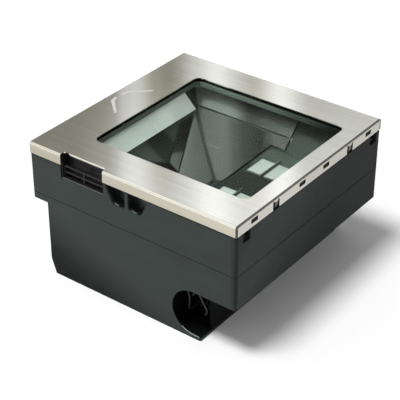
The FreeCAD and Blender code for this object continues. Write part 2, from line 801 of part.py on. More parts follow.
def make_window_frame():
    body = new_body("window_frame")
    outer = grown(rect(-inner_x, -inner_y, inner_x, inner_y), -s.deck_play)
    opening = grown(window_outline, s.window_reveal)
    add(body, "XY", [outer], deck_under, glass_under)
    soften(body, "Z", outer, s.deck_corner)
    glass_side = grown(glass_outline, s.glass_play)
    rim = grown(glass_side, s.rim_width)
    add(body, "XY", [rim, glass_side], glass_under, glass_under + s.rim_height)
    # The skirt under the window steps outwards on its way down.
    steps = range(s.skirt_steps.whole())
    for step in steps:
        head = deck_under - s.skirt_step * step
        outer = grown(opening, s.skirt_step * (step + past) + s.skirt_wall)
        add(body, "XY", [outer], head - s.skirt_step, head)
    for step in steps:
        foot = deck_under - s.skirt_step * (step + past)
        inner = grown(opening, s.skirt_step * step)
        head = foot + s.skirt_step if step else glass_under
        cut(body, "XY", [inner], foot, head)
        soften(body, "Z", inner, s.window_corner, span=(foot.value, head.value))
    cut(body, "XY", [rect(pocket_x0 - s.deck_play, -inner_y - past, pocket_x1 + s.deck_play,
                          pocket_back + s.deck_play)], deck_under - past, glass_under + past)
    strokes = [stroke_outline(side, s.stroke_play) for side in (-1, 1)]
    cut(body, "XY", strokes, deck_under - past, glass_under + past)
    hole = s.small_shank_radius + s.shank_play
    cut(body, "XY", [disc(x, y, hole) for x, y in deck_screws], deck_under - past, glass_under + past)


def indicator_posts():
    (x0, y0), (x1, y1) = indicator_outline()[0], indicator_outline()[2]
    inset = s.standoff_radius + s.standoff_inset
    return [(x, y) for x in (x0 + inset, x1 - inset) for y in (y0 + inset, y1 - inset)]


def make_light_pipe(side, name):
    body = new_body(name)
    foot = top - s.stroke_foot_drop
    add(body, "XY", [stroke_outline(side, as_length(0))], foot, top)
    add(body, "XY", [stroke_outline(side, s.stroke_lip)], deck_under - s.stroke_lip_height, deck_under)


def make_indicator_board():
    body = new_body("indicator_board")
    add(body, "XY", [indicator_outline()], indicator_top - s.indicator_board_thickness, indicator_top)
    posts = [polygon(x, y, s.standoff_radius, 6) for x, y in indicator_posts()]
    add(body, "XY", posts, indicator_top, deck_under)


def make_indicator_leds():
    body = new_body("indicator_leds")
    half = s.indicator_led_size / 2
    chips = []
    count = s.leds_per_stroke.whole()
    for side in (-1, 1):
        for number in range(count):
            share = (number + 0.5) / count
            x = s.stroke_bend_inset + (s.stroke_end_inset - s.stroke_bend_inset) * share - half_x
            y = centre + side * (s.stroke_bend + (s.stroke_end - s.stroke_bend) * share)
            chips.append(rect(x - half, y - half, x + half, y + half))
    add(body, "XY", chips, indicator_top, indicator_top + s.indicator_led_height)


def make_window_glass():
    body = new_body("window_glass")
    add(body, "XY", [glass_outline], glass_under, glass_top)
    soften(body, "Z", glass_outline, s.window_corner)


def make_window_gasket():
    body = new_body("window_gasket")
    inner = grown(window_outline, s.window_reveal)
    add(body, "XY", [glass_outline, inner], glass_top, skin_under)
    soften(body, "Z", glass_outline, s.window_corner)
    soften(body, "Z", inner, s.window_corner)


def make_finger_pocket():
    body = new_body("finger_pocket")
    play = s.pocket_play
    wall = s.spout_wall
    x0, x1 = pocket_x0 + play, pocket_x1 - play
    y0, y1 = s.gasket_inset - rim_y, pocket_back
    z0, z1 = pocket_floor + play, rim_top
    add(body, "XY", [rect(x0, y0, x1, y1)], z0, z1)
    cut(body, "XY", [rect(x0 + wall, y0 - past, x1 - wall, y1 - wall)], z0 + wall, z1 + past)
    # Front grille of rows of windows, set back from the lip.
    grille_y = y0 + wall
    grille_top = flange_foot - s.grille_drop
    add(body, "XY", [rect(x0 + wall, grille_y, x1 - wall, grille_y + wall)], z0 + wall, grille_top)
    bar = s.grille_bar
    columns, rows = s.grille_columns.whole(), s.grille_rows.whole()
    cell_w = (x1 - x0 - wall * 2 - bar * (columns + 1)) / columns
    cell_h = (grille_top - z0 - wall - s.grille_sill - bar * rows) / rows
    windows = []
    for column in range(columns):
        for row in range(rows):
            wx = x0 + wall + bar + (cell_w + bar) * column
            wz = z0 + wall + s.grille_sill + (cell_h + bar) * row
            windows.append(rect(wx, wz, wx + cell_w, wz + cell_h))
    cut(body, "XZ", windows, grille_y - past, grille_y + wall + past)


def make_speaker():
    body = new_body("speaker")
    middle = (pocket_x0 + pocket_x1) / 2
    height = top - s.speaker_height_drop
    rear = pocket_back + s.speaker_rim
    add(body, "XZ", [disc(middle, height, s.speaker_radius)], pocket_back, rear)
    add(body, "XZ", [disc(middle, height, s.speaker_magnet_radius)], rear, pocket_back + s.speaker_depth)


def make_drain_spouts():
    body = new_body("drain_spouts")
    wall = s.spout_skin
    head = deck_under - s.ledge_thickness - s.pocket_play
    back = s.spout_depth - body_y
    add(body, "XZ", spout_outlines(wall, head), -inner_y, back + wall)
    soften(body, "Y", [(x, z) for outline in spout_outlines(wall, head) for x, z in outline[1:2]],
           s.spout_corner + wall)
    cut(body, "XZ", spout_outlines(as_length(0), head + past), -inner_y - past, back)
    soften(body, "Y", spout_corners(as_length(0)), s.spout_corner)


def seat_on_camera_slope(thing, prop):
    """Own Z along the camera's axis, up and to the left, from the right slope's inner face."""
    spot = (s.camera_rise - s.groove_right, centre, groove_z + s.camera_rise)
    setattr(thing, prop, FreeCAD.Placement(FreeCAD.Vector(0, 0, 0), FreeCAD.Rotation(across_y, -45.0)))
    for name, length in zip("xyz", spot):
        bind(thing, "%s.Base.%s" % (prop, name), length)
    doc.recompute()


ledge_x = -s.groove_left - s.left_facet_run
ledge_z = groove_z + s.left_facet_rise


def make_optics_tub():
    body = new_body("optics_tub")
    half = s.groove_half_length
    spread = half + s.tub_depth
    long_x = ledge_x - s.long_facet_rise
    profile = [(long_x, brim_top), (long_x, ledge_z + s.long_facet_rise), (ledge_x, ledge_z),
               (-s.groove_left, groove_z), (-s.groove_right, groove_z),
               (s.shelf_rise - s.groove_right, shelf_z), (shelf_end, shelf_z), (shelf_end, brim_top)]
    add(body, "XZ", [profile], centre - spread, centre + spread)
    for side in (-1, 1):
        corner = centre + side * half
        far = centre + side * (spread + past)
        cut(body, "YZ", [[(corner, groove_z - past), (corner, groove_z), (centre + side * spread, brim_top),
                          (far, brim_top + past), (far, groove_z - past)]], long_x - past, shelf_end + past)
    mouth = ["Face%d" % number for number, face in enumerate(body.Shape.Faces, start=1)
             if face.BoundBox.ZMin > brim_top.value - 0.01]
    solid = body.Tip
    shell = body.newObject("PartDesign::Thickness", "optics_tub_wall")
    shell.Base = (solid, mouth)
    shell.Join = 1
    shell.Reversed = False
    bind(shell, "Value", s.tub_wall)
    doc.recompute()
    brim = grown(rect(-inner_x, -inner_y, inner_x, inner_y), -s.tub_brim_play)
    hole = rect(long_x, centre - spread, shelf_end, centre + spread)
    add(body, "XY", [brim, hole], brim_under, brim_top)
    soften(body, "Z", brim, s.deck_corner)
    # Its brim keeps clear of the finger pocket, the speaker and the spouts.
    spouts_x1 = spout_centre + s.spout_rib / 2 + s.spout_mouth
    clear = rect(pocket_x0 - s.tub_brim_clear, -inner_y - past, spouts_x1 + s.tub_brim_clear,
                 pocket_back + s.speaker_depth + s.tub_brim_clear)
    cut(body, "XY", [clear], brim_under - past, brim_top + past)
    hole = s.small_shank_radius + s.shank_play
    cut(body, "XY", [disc(x, y, hole) for x, y in brim_screws], brim_under - past, brim_top + past)
    # The camera looks in through a bore square to the right slope.
    before = body.Shape.Volume
    bore = body.newObject("PartDesign::Pocket", "optics_tub_camera_bore")
    bore.Profile = new_sketch(body, "XY", [disc(0, 0, s.barrel_radius + s.barrel_play)], 0)
    seat_on_camera_slope(bore.Profile[0], "AttachmentOffset")
    bind(bore, "Length", s.tub_wall + past)
    check_change(body, before, False, "camera bore")


root_two = math.sqrt(2)


def left_limit(rise):
    """Left wall of the tub at a height over the groove, on the mirrors' seats."""
    return -s.groove_left - s.left_facet_run * rise / s.left_facet_rise


def make_cross_mirror(name, side, outline):
    """A mirror on the rear (+1) or front (-1) slope; outline in x and rise over the groove."""
    body = new_body(name)
    local = [(x, rise * root_two * side) for x, rise in outline]
    add(body, "XY", [local], as_length(0), s.mirror_thickness)
    foot = (as_length(0), centre + s.groove_half_length * side, groove_z)
    seat(body, foot, across_x, as_length(45.0 * side))


def make_cross_mirrors():
    margin = s.mirror_margin
    low = s.groove_margin
    high = s.rear_mirror_top_rise
    knee = s.shelf_rise + s.groove_margin
    over_ledge = left_limit(s.left_facet_rise) + margin
    main = [(left_limit(low) + margin, low), (low - s.groove_right, low),
            (knee - s.groove_right - margin, knee), (s.rear_mirror_right, knee),
            (s.rear_mirror_right, high), (over_ledge - (high - s.left_facet_rise), high),
            (over_ledge, s.left_facet_rise)]
    start = high + s.mirror_gap
    end = s.tub_depth - s.mirror_gap
    upper = [(over_ledge - (start - s.left_facet_rise), start), (s.rear_mirror_right, start),
             (s.rear_mirror_right, end), (over_ledge - s.long_facet_rise, end),
             (over_ledge - s.long_facet_rise, s.left_facet_rise + s.long_facet_rise)]
    for word, side in (("rear", 1), ("front", -1)):
        make_cross_mirror(word + "_mirror", side, main)
        make_cross_mirror(word + "_upper_mirror", side, upper)


def make_left_mirror(name, outline):
    """A mirror on the left slope; outline in rise over the groove and y from the centre."""
    body = new_body(name)
    length = hypotenuse(s.left_facet_rise, s.left_facet_run)
    local = [((s.left_facet_rise - rise) * length / s.left_facet_rise, y) for rise, y in outline]
    add(body, "XY", [local], as_length(0), s.mirror_thickness)
    seat(body, (ledge_x, centre, ledge_z), across_y, slope_angle(s.left_facet_rise, s.left_facet_run))


def make_left_mirrors():
    gap = s.mirror_gap / 2
    low = s.groove_margin
    high = s.facet_top_rise
    valley_low = s.groove_half_length + low - s.mirror_margin * 1.5
    for word, side in (("rear", 1), ("front", -1)):
        facet = [(high, side * s.facet_apex), (low, side * valley_low), (low, side * gap),
                 (s.facet_split_rise - gap, side * gap)]
        make_left_mirror(word + "_left_mirror", facet)
        strip = [(high, side * s.strip_top_near), (high, side * (s.facet_apex - s.mirror_gap * 2)),
                 (s.facet_split_rise + gap, side * gap), (s.strip_foot_rise, side * gap)]
        make_left_mirror(word + "_strip_mirror", strip)
    body = new_body("long_mirror")
    wide = s.long_facet_rise * root_two
    reach = s.long_mirror_half
    add(body, "XY", [rect(s.mirror_gap / 2, -reach, wide - s.mirror_gap / 2, reach)], as_length(0),
        s.mirror_thickness)
    seat(body, (ledge_x - s.long_facet_rise, centre, ledge_z + s.long_facet_rise), across_y, as_length(45.0))


def make_lamps():
    """Lamp boards on the shelf, each under two diffuser tiles with a fin between them."""
    x0 = s.tile_from_groove - s.groove_right
    x1 = x0 + s.tile_width * 2 + s.tile_gap
    gap_x0 = x0 + s.tile_width
    fin_x0 = gap_x0 + (s.tile_gap - s.fin_thickness) / 2
    board_top = shelf_z + s.lamp_board_thickness
    for word, side in (("rear", 1), ("front", -1)):
        near = centre + side * s.tile_from_centre
        far = centre + side * (s.tile_from_centre + s.tile_length)
        y0, y1 = (near, far) if side > 0 else (far, near)
        base = rect(x0, y0, x1, y1)
        board = new_body("lamp_board_" + word)
        add(board, "XY", [grown(base, s.lamp_board_margin)], shelf_z, board_top)
        tiles = new_body("lamp_diffuser_" + word)
        add(tiles, "XY", [base], board_top, board_top + s.tile_base)
        pair = [rect(x0, y0, gap_x0, y1), rect(gap_x0 + s.tile_gap, y0, x1, y1)]
        add(tiles, "XY", pair, board_top + s.tile_base, board_top + s.tile_base + s.tile_thickness)
        fin = new_body("lamp_fin_" + word)
        foot = board_top + s.tile_base
        add(fin, "XY", [rect(fin_x0, y0 - s.fin_overrun, fin_x0 + s.fin_thickness, y1 + s.fin_overrun)], foot,
            foot + s.fin_height)


def make_camera():
    mount = new_body("camera_mount")
    half = s.camera_mount_size / 2
    square = rect(-half, -half, half, half)
    back = -s.tub_wall - s.camera_mount_depth
    inner = grown(square, -s.shell_wall)
    add(mount, "XY", [square, inner], back, -s.tub_wall)
    bore = s.barrel_radius + s.barrel_play
    add(mount, "XY", [inner, disc(as_length(0), as_length(0), bore)], -s.tub_wall - s.shell_wall, -s.tub_wall)
    seat_on_camera_slope(mount, "Placement")
    board = new_body("camera_board")
    add(board, "XY", [square], back - s.camera_board_thickness, back)
    seat_on_camera_slope(board, "Placement")
    barrel = new_body("camera_barrel")
    none = as_length(0)
    add(barrel, "XY", [disc(none, none, s.barrel_radius)], back, s.barrel_proud)
    cut(barrel, "XY", [disc(none, none, s.lens_radius)], s.barrel_proud - s.lens_recess - s.lens_thickness,
        s.barrel_proud + past)
    seat_on_camera_slope(barrel, "Placement")
    lens = new_body("camera_lens")
    foot = s.barrel_proud - s.lens_recess - s.lens_thickness
    add(lens, "XY", [disc(none, none, s.lens_radius)], foot, foot + s.lens_thickness)
    seat_on_camera_slope(lens, "Placement")


def make_main_board():
    board_top = s.board_height + s.board_thickness
    body = new_body("main_board")
    add(body, "XY", [rect(-s.board_left, -s.board_half_depth, s.board_right, s.board_half_depth)],
        s.board_height, board_top)
    hole = s.small_shank_radius + s.shank_play
    cut(body, "XY", [disc(x, y, hole) for x, y in board_posts], s.board_height - past, board_top + past)
    shield = new_body("shield_can")
    x0, y0 = s.shield_from_left - s.board_left, s.shield_from_middle
    outline = rect(x0, y0, x0 + s.shield_width, y0 + s.shield_length)
    add(shield, "XY", [outline], board_top, board_top + s.shield_height)
    cut(shield, "XY", [grown(outline, -s.shield_sheet)], board_top - past,
        board_top + s.shield_height - s.shield_sheet)
    sink = new_body("heat_sink")
    hx, hy = s.sink_from_left - s.board_left, -s.sink_from_middle - s.sink_length
    add(sink, "XY", [rect(hx, hy, hx + s.sink_width, hy + s.sink_length)], board_top, board_top + s.sink_base)
    fins = []
    count = s.sink_fins.whole()
    pitch = (s.sink_width - s.sink_fin) / (count - 1)
    for number in range(count):
        fx = hx + pitch * number
        fins.append(rect(fx, hy, fx + s.sink_fin, hy + s.sink_length))
    add(sink, "XY", fins, board_top + s.sink_base, board_top + s.sink_height)
    cans = new_body("capacitors")
    spots = [disc(s.can_column, -s.can_from_middle - s.can_pitch * number, s.can_radius)
             for number in range(s.cans.whole())]
    add(cans, "XY", spots, board_top, board_top + s.can_height)


def make_ports():
    board = new_body("port_board")
    y0 = bay_y1 + s.shell_wall + s.port_board_gap
    y1 = y0 + s.port_board_thickness
    outline = rect(bay_x0 - s.port_board_overlap, s.board_height + s.board_thickness,
                   bay_x1 - s.port_board_play, s.port_board_top)
    add(board, "XZ", [outline], y0, y1)
    block = new_body("port_sockets")
    face = bay_y1 - s.port_reach + s.shell_wall
    add(block, "XZ", [about(x, z, s.port_width, s.port_height) for x, z in ports], face, y0)
    plugs = [about(x, z, s.plug_width, s.plug_height) for x, z in ports]
    cut(block, "XZ", [grown(plug, s.port_play) for plug in plugs], face - past, face + s.plug_grip)
    body = new_body("lead_plugs")
    add(body, "XZ", plugs[:len(lead_entries)], face + s.plug_grip - s.plug_length, face + s.plug_grip)


def lead_bores(margin):
    return [polygon(x, y, s.lead_radius + margin, lead_sides) for x, y in lead_entries]


def grommet_outline(margin):
    """The strip grommet that the three leads share, in the roof of the bay."""
    xs = [x for x, _ in lead_entries]
    ys = [y for _, y in lead_entries]
    reach = s.grommet_radius + margin
    return rect(xs[0] - reach, ys[0] - reach, xs[-1] + reach, ys[1] + reach)


def make_grommet():
    body = new_body("lead_grommet")
    foot = bay_roof - s.grommet_flange
    head = bay_roof_top + s.grommet_flange
    add(body, "XY", [grommet_outline(-s.grommet_play)], bay_roof, bay_roof_top)
    flange = grommet_outline(s.grommet_flange)
    add(body, "XY", [flange], foot, bay_roof)
    add(body, "XY", [flange], bay_roof_top, head)
    soften(body, "Z", flange, s.grommet_corner)
    cut(body, "XY", lead_bores(0), foot - past, head + past)


def rounded_path(points):
    """Straight runs joined by tangent arcs, each as large as its two runs allow."""
    share = 0.45
    edges = []
    here = points[0]
    radii = []
    for before, corner, after in zip(points, points[1:], points[2:]):
        back, ahead = before - corner, after - corner
        shorter = min(back.Length, ahead.Length)
        back.normalize()
        ahead.normalize()
        turn = math.pi - back.getAngle(ahead)
        trim = share * shorter
        radii.append(trim / math.tan(turn / 2))
        start, end = corner + back * trim, corner + ahead * trim
        bisector = back + ahead
        bisector.normalize()
        centre_point = corner + bisector * (trim / math.cos((math.pi - turn) / 2))
        middle = centre_point - bisector * radii[-1]
        edges.append(Part.LineSegment(here, start).toShape())
        edges.append(Part.Arc(start, middle, end).toShape())
        here = end
    edges.append(Part.LineSegment(here, points[-1]).toShape())
    return Part.Wire(edges), radii


def make_leads():
    """Three thin leads, from the grommet in the bay's roof round to their plugs."""
    face = bay_y1 - s.port_reach + s.shell_wall
    plug_y = (face + s.plug_grip - s.plug_length).value
    head = (bay_roof_top + s.grommet_flange).value
    # Each route's corners, counted from where the lead enters the grommet.
    routes = (
        ("lead_left", 0, [(0, 0, -16), (2, -3, -30), (6, -3, -44)]),
        ("lead_middle", 1, [(0, 0, -14), (-1, -3, -25)]),
        ("lead_right", 2, [(0, 0, -15), (4, -4, -30), (6, -2, -43)]),
    )
    for (name, number, steps), (port_x, port_z) in zip(routes, ports):
        x, y = lead_entries[number]
        start = FreeCAD.Vector(x.value, y.value, head)
        points = [start] + [start + FreeCAD.Vector(*step) for step in steps]
        end = FreeCAD.Vector(port_x.value, plug_y, port_z.value)
        points += [end - FreeCAD.Vector(0, s.lead_tail.value, 0), end]
        path, radii = rounded_path(points)
        print(name, "radii", ["%.1f" % radius for radius in radii], "length %.1f" % path.Length)
        corners = [FreeCAD.Vector(px.value, py.value, head) for px, py in lead_bores(0)[number]]
        ring = Part.makePolygon(corners + corners[:1])
        tube = path.makePipeShell([ring], True, False)
        section = Part.Face(ring).Area
        if abs(tube.Volume / (section * path.Length) - past) > 0.02:
            raise RuntimeError(name + " is not a clean sweep")
        feature = doc.addObject("Part::Feature", name)
        feature.Label = name
        feature.Shape = tube
        feature.Placement = FreeCAD.Placement()


def make_housing_screws():
    """Pan-head screws with a hexagon socket, up through the wells of the lower housing."""
    for side, shelf, depth in screw_wells:
        body = new_body("housing_screws_" + ("right" if side > 0 else "left"))
        under = shelf + depth
        spots = [(post_x * side, centre + spot) for spot in post_spots]
        tip = upper_foot + s.screw_grip - s.pilot_spare
        add(body, "XY", [disc(x, y, s.screw_shank_radius) for x, y in spots], under, tip)
        foot = under - s.screw_head_height
        add(body, "XY", [disc(x, y, s.screw_head_radius) for x, y in spots], foot, under)
        sockets = [polygon(x, y, s.drive_radius, 6) for x, y in spots]
        cut(body, "XY", sockets, foot - past, foot + s.drive_depth)


def make_small_screws(name, spots, seat_z):
    """Hexagon-head screws, down into the ledge or post below."""
    body = new_body(name)
    add(body, "XY", [disc(x, y, s.small_shank_radius) for x, y in spots], seat_z - s.small_grip, seat_z)
    add(body, "XY", [polygon(x, y, s.small_head_radius, 6) for x, y in spots], seat_z,
        seat_z + s.small_head_height)


make_platter()
make_platter_frame()
make_platter_gasket()
make_upper_housing()
make_lower_housing()
make_housing_gasket()
make_window_frame()
make_window_glass()
make_window_gasket()
make_light_pipe(1, "light_pipe_rear")
make_light_pipe(-1, "light_pipe_front")
make_indicator_board()
make_indicator_leds()
make_finger_pocket()
make_speaker()
make_drain_spouts()
make_optics_tub()
make_cross_mirrors()
make_left_mirrors()
make_lamps()
make_camera()
make_main_board()
make_ports()
make_grommet()
make_leads()
make_housing_screws()
make_small_screws("tub_screws", brim_screws, brim_top)
make_small_screws("deck_screws", deck_screws, glass_under)
make_small_screws("board_screws", board_posts, s.board_height + s.board_thickness)
doc.recompute()

nodes = [item for item in doc.Objects if item.TypeId in ("PartDesign::Body", "Part::Feature")]
for item in doc.Objects:
    if "Invalid" in item.State or "Error" in item.State:
        raise RuntimeError("%s failed: %s" % (item.Label, item.State))
for node in nodes:
    if node.Shape.isNull() or not node.Shape.isValid() or not node.Shape.Solids:
        raise RuntimeError("bad shape: " + node.Label)

os.makedirs("parts", exist_ok=True)
for node in nodes:
    node.Shape.exportStep(os.path.join("parts", node.Label + ".step"))
print(len(nodes), "nodes written")
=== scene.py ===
import math

import bmesh
import bpy
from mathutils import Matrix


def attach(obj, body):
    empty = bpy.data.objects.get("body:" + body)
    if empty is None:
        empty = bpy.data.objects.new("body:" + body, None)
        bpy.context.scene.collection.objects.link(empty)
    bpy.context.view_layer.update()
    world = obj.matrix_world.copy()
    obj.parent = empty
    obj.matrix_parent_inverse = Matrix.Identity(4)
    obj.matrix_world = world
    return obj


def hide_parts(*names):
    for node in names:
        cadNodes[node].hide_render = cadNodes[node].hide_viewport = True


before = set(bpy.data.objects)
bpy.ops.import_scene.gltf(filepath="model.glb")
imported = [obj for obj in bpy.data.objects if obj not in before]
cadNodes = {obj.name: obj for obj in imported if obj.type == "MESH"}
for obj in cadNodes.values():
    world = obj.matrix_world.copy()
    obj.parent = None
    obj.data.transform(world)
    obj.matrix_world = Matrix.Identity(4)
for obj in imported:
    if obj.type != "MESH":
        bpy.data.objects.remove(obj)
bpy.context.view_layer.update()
scene = bpy.context.scene
print("frame loaded:", len(cadNodes), "nodes")

white = (1.0, 1.0, 1.0)
photoTurn = 37.23  # degrees round Z to the camera's view; the painted reflection bands fan out from there


def newMaterial(name):
    material = bpy.data.materials.new(name)
    material.use_nodes = True
    tree = material.node_tree
    shader = tree.nodes["Principled BSDF"]
    coords = tree.nodes.new("ShaderNodeTexCoord").outputs["Object"]
    return material, tree, shader, coords


def addNode(tree, kind, inputs=None, **settings):
    node = tree.nodes.new(kind)
    for key, value in settings.items():
        setattr(node, key, value)
    for key, value in (inputs or {}).items():
        if isinstance(value, bpy.types.NodeSocket):
            tree.links.new(value, node.inputs[key])
        else:
            node.inputs[key].default_value = value
    return node


def setShader(tree, shader, **inputs):
    for key, value in inputs.items():
        socket = shader.inputs[key.replace("_", " ")]
        if isinstance(value, bpy.types.NodeSocket):
            tree.links.new(value, socket)
        else:
            socket.default_value = value


def scaled(colour, by):
    return tuple(channel * by for channel in colour)


def metres(values):
    return tuple(value / 1000 for value in values)


def partsOf(tree, coords):
    node = addNode(tree, "ShaderNodeSeparateXYZ", {"Vector": coords})
    return node.outputs["X"], node.outputs["Y"], node.outputs["Z"]


def noiseOn(tree, coords, scale, detail, roughness=0.55):
    if isinstance(scale, tuple):  # a scale for each axis stretches the noise
        stretch = addNode(tree, "ShaderNodeMapping", {"Vector": coords, "Scale": scale})
        coords, scale = stretch.outputs["Vector"], 1.0
    node = addNode(tree, "ShaderNodeTexNoise", {"Vector": coords, "Scale": scale, "Detail": detail,
                                                "Roughness": roughness})
    return node.outputs["Fac"]


def rampOn(tree, factor, stops, smooth=False):
    node = addNode(tree, "ShaderNodeValToRGB", {"Fac": factor})
    ramp = node.color_ramp
    ramp.interpolation = "EASE" if smooth else "LINEAR"
    while len(ramp.elements) < len(stops):
        ramp.elements.new(0.5)
    for element, (place, tone) in zip(ramp.elements, stops):
        element.position = place
        element.color = (*tone, 1.0) if isinstance(tone, tuple) else (tone, tone, tone, 1.0)
    return node.outputs["Color"]


def rangeOn(tree, factor, low, high, fromLow=0.0, fromHigh=1.0):
    node = addNode(tree, "ShaderNodeMapRange", {"Value": factor, "To Min": low, "To Max": high,
                                                "From Min": fromLow, "From Max": fromHigh})
    return node.outputs["Result"]


def mathOn(tree, operation, *values):
    node = addNode(tree, "ShaderNodeMath", dict(enumerate(values)), operation=operation)
    return node.outputs["Value"]


def dotOn(tree, coords, way):
    node = addNode(tree, "ShaderNodeVectorMath", {0: coords, 1: way}, operation="DOT_PRODUCT")
    return node.outputs["Value"]


def scaleOn(tree, tone, by):
    node = addNode(tree, "ShaderNodeVectorMath", {0: tone, "Scale": by}, operation="SCALE")
    return node.outputs["Vector"]


def bumpOn(tree, height, strength, distance):
    node = addNode(tree, "ShaderNodeBump", {"Height": height, "Strength": strength,
                                            "Distance": distance})
    return node.outputs["Normal"]


def blendOn(tree, factor, first, second, how="MIX"):
    node = addNode(tree, "ShaderNodeMix", {"Factor": factor}, data_type="RGBA", blend_type=how)
    for index, value in ((6, first), (7, second)):  # the node's two colours
        if isinstance(value, bpy.types.NodeSocket):
            tree.links.new(value, node.inputs[index])
        else:
            node.inputs[index].default_value = (*value, 1.0)
    return node.outputs[2]


def timesOn(tree, first, second):
    return blendOn(tree, 1.0, first, second, "MULTIPLY")


# the stops of a tone are (millimetres, brightness or colour) pairs
def stopsOn(tree, place, stops, smooth=True):
    low, high = stops[0][0], stops[-1][0]
    share = rangeOn(tree, place, 0.0, 1.0, low / 1000, high / 1000)
    stops = [((at - low) / (high - low), tone) for at, tone in stops]
    return rampOn(tree, share, stops, smooth)


def toneOn(tree, coords, way, stops):
    return stopsOn(tree, dotOn(tree, coords, way), stops)


# (degrees, brightness) pairs on both sides of a fan's middle
def fanOn(tree, turn, middle, spread, bands):
    middle, half = math.radians(middle), math.radians(spread) / 2
    share = rangeOn(tree, turn, 0.0, 1.0, middle - half, middle + half)
    return rampOn(tree, share, [(0.5 + at / spread, level) for at, level in bands], smooth=True)


# painted reflection on the platter: soft bands of mirrored light are painted into its colour and
# fan out "from" a far point, in degrees, as they are "near" it and "far" from it; "warm" tints the
# darker ones. The flanges have painted tones by height with a painted highlight along the bend, are
# painted lighter along X, and a painted shadow line runs down the right edge. Places are in
# millimetres
paintedSheen = {
    "from": (785, -1048), "near": 1170, "far": 1430, "turn": photoTurn, "spread": 17.0,
    "nearBands": [(-8.5, 0.95), (-6.9, 1.08), (-5.4, 1.04), (-4.4, 1.20), (-3.1, 0.92),
                  (-1.2, 1.12), (0.9, 1.05), (2.0, 0.86), (3.8, 1.32), (4.9, 0.90), (6.8, 0.60),
                  (8.5, 0.50)],
    "farBands": [(-8.5, 0.93), (-5.6, 0.85), (-4.1, 1.25), (-2.75, 0.74), (-0.95, 1.20),
                 (0.2, 0.95), (1.7, 0.47), (2.2, 0.51), (3.3, 1.04), (3.8, 1.00), (4.35, 0.60),
                 (5.5, 0.54), (8.5, 0.50)],
    "warm": [(0.45, (1.02, 0.98, 0.80)), (0.75, (1.01, 0.99, 0.90)), (1.0, white)],
    "flange": [(158.0, (0.70, 0.66, 0.57)), (169.0, (0.74, 0.70, 0.62)),
               (170.0, (1.28, 1.25, 1.16)), (171.9, (1.28, 1.25, 1.16))],
    "flangeAlong": {"way": (1.0, 0.0, 0.0), "stops": [(-145, 0.94), (-100, 0.95), (-80, 0.96),
                                                      (-30, 1.0), (60, 1.07), (145, 1.14)]},
    "top": (171.7, 171.9),
    "edge": {"way": (1.0, 0.0, 0.0), "stops": [(144.3, 1.0), (144.6, 0.12)]},
}


def paintedSheenOn(tree, coords, size):
    wayX, wayY, wayZ = partsOf(tree, coords)
    fromX, fromY = size["from"]
    offX = mathOn(tree, "SUBTRACT", fromX / 1000, wayX)
    offY = mathOn(tree, "SUBTRACT", wayY, fromY / 1000)
    turn = mathOn(tree, "ARCTAN2", offX, offY)
    squares = [mathOn(tree, "MULTIPLY", off, off) for off in (offX, offY)]
    away = mathOn(tree, "SQRT", mathOn(tree, "ADD", *squares))
    bands = [fanOn(tree, turn, size["turn"], size["spread"], size[key])
             for key in ("nearBands", "farBands")]
    share = rangeOn(tree, away, 0.0, 1.0, size["near"] / 1000, size["far"] / 1000)
    level = blendOn(tree, share, *bands)
    level = timesOn(tree, level, rampOn(tree, level, size["warm"]))
    # painted tones of the flanges, with a painted highlight along the bend
    fold = stopsOn(tree, wayZ, size["flange"], smooth=False)
    fold = timesOn(tree, fold, toneOn(tree, coords, **size["flangeAlong"]))
    low, high = size["top"]
    tone = blendOn(tree, rangeOn(tree, wayZ, 0.0, 1.0, low / 1000, high / 1000), fold, level)
    # a painted shadow line down the right edge
    return timesOn(tree, tone, toneOn(tree, coords, **size["edge"]))


# painted highlight lines one above the other, behind a place along Y
def stepHighlightsOn(tree, coords, size):
    wayY, wayZ = partsOf(tree, coords)[1:]
    wave = mathOn(tree, "SINE", mathOn(tree, "MULTIPLY", wayZ, math.tau / (size["pitch"] / 1000)))
    line = rangeOn(tree, wave, 0.0, size["level"], *size["crest"])
    behind = mathOn(tree, "GREATER_THAN", wayY, size["behind"] / 1000)
    return mathOn(tree, "ADD", mathOn(tree, "MULTIPLY", line, behind), 1.0)


# painted light and shade: how a finish is painted brighter or darker by place, in millimetres:
# "along" a way, otherwise "past" the plane that "wall" gives as (axis, place), in "spots" that are
# boxes (low corner, high corner, brightness), and by "steps" of painted highlight lines
def paintedLightAndShadeOn(tree, coords, size):
    parts = partsOf(tree, coords)
    tone = toneOn(tree, coords, **size["along"]) if "along" in size else white
    if "past" in size:
        axis, edge = size["wall"]
        past = mathOn(tree, "GREATER_THAN", parts[axis], edge / 1000)
        tone = blendOn(tree, past, tone, toneOn(tree, coords, **size["past"]))
    for low, high, level in size.get("spots", []):
        inside = 1.0
        for place, least, most in zip(parts, low, high):
            above = mathOn(tree, "GREATER_THAN", place, least / 1000)
            below = mathOn(tree, "LESS_THAN", place, most / 1000)
            inside = mathOn(tree, "MULTIPLY", mathOn(tree, "MULTIPLY", inside, above), below)
        tone = blendOn(tree, inside, tone, (level, level, level))
    if "steps" in size:
        tone = timesOn(tree, tone, stepHighlightsOn(tree, coords, size["steps"]))
    return tone
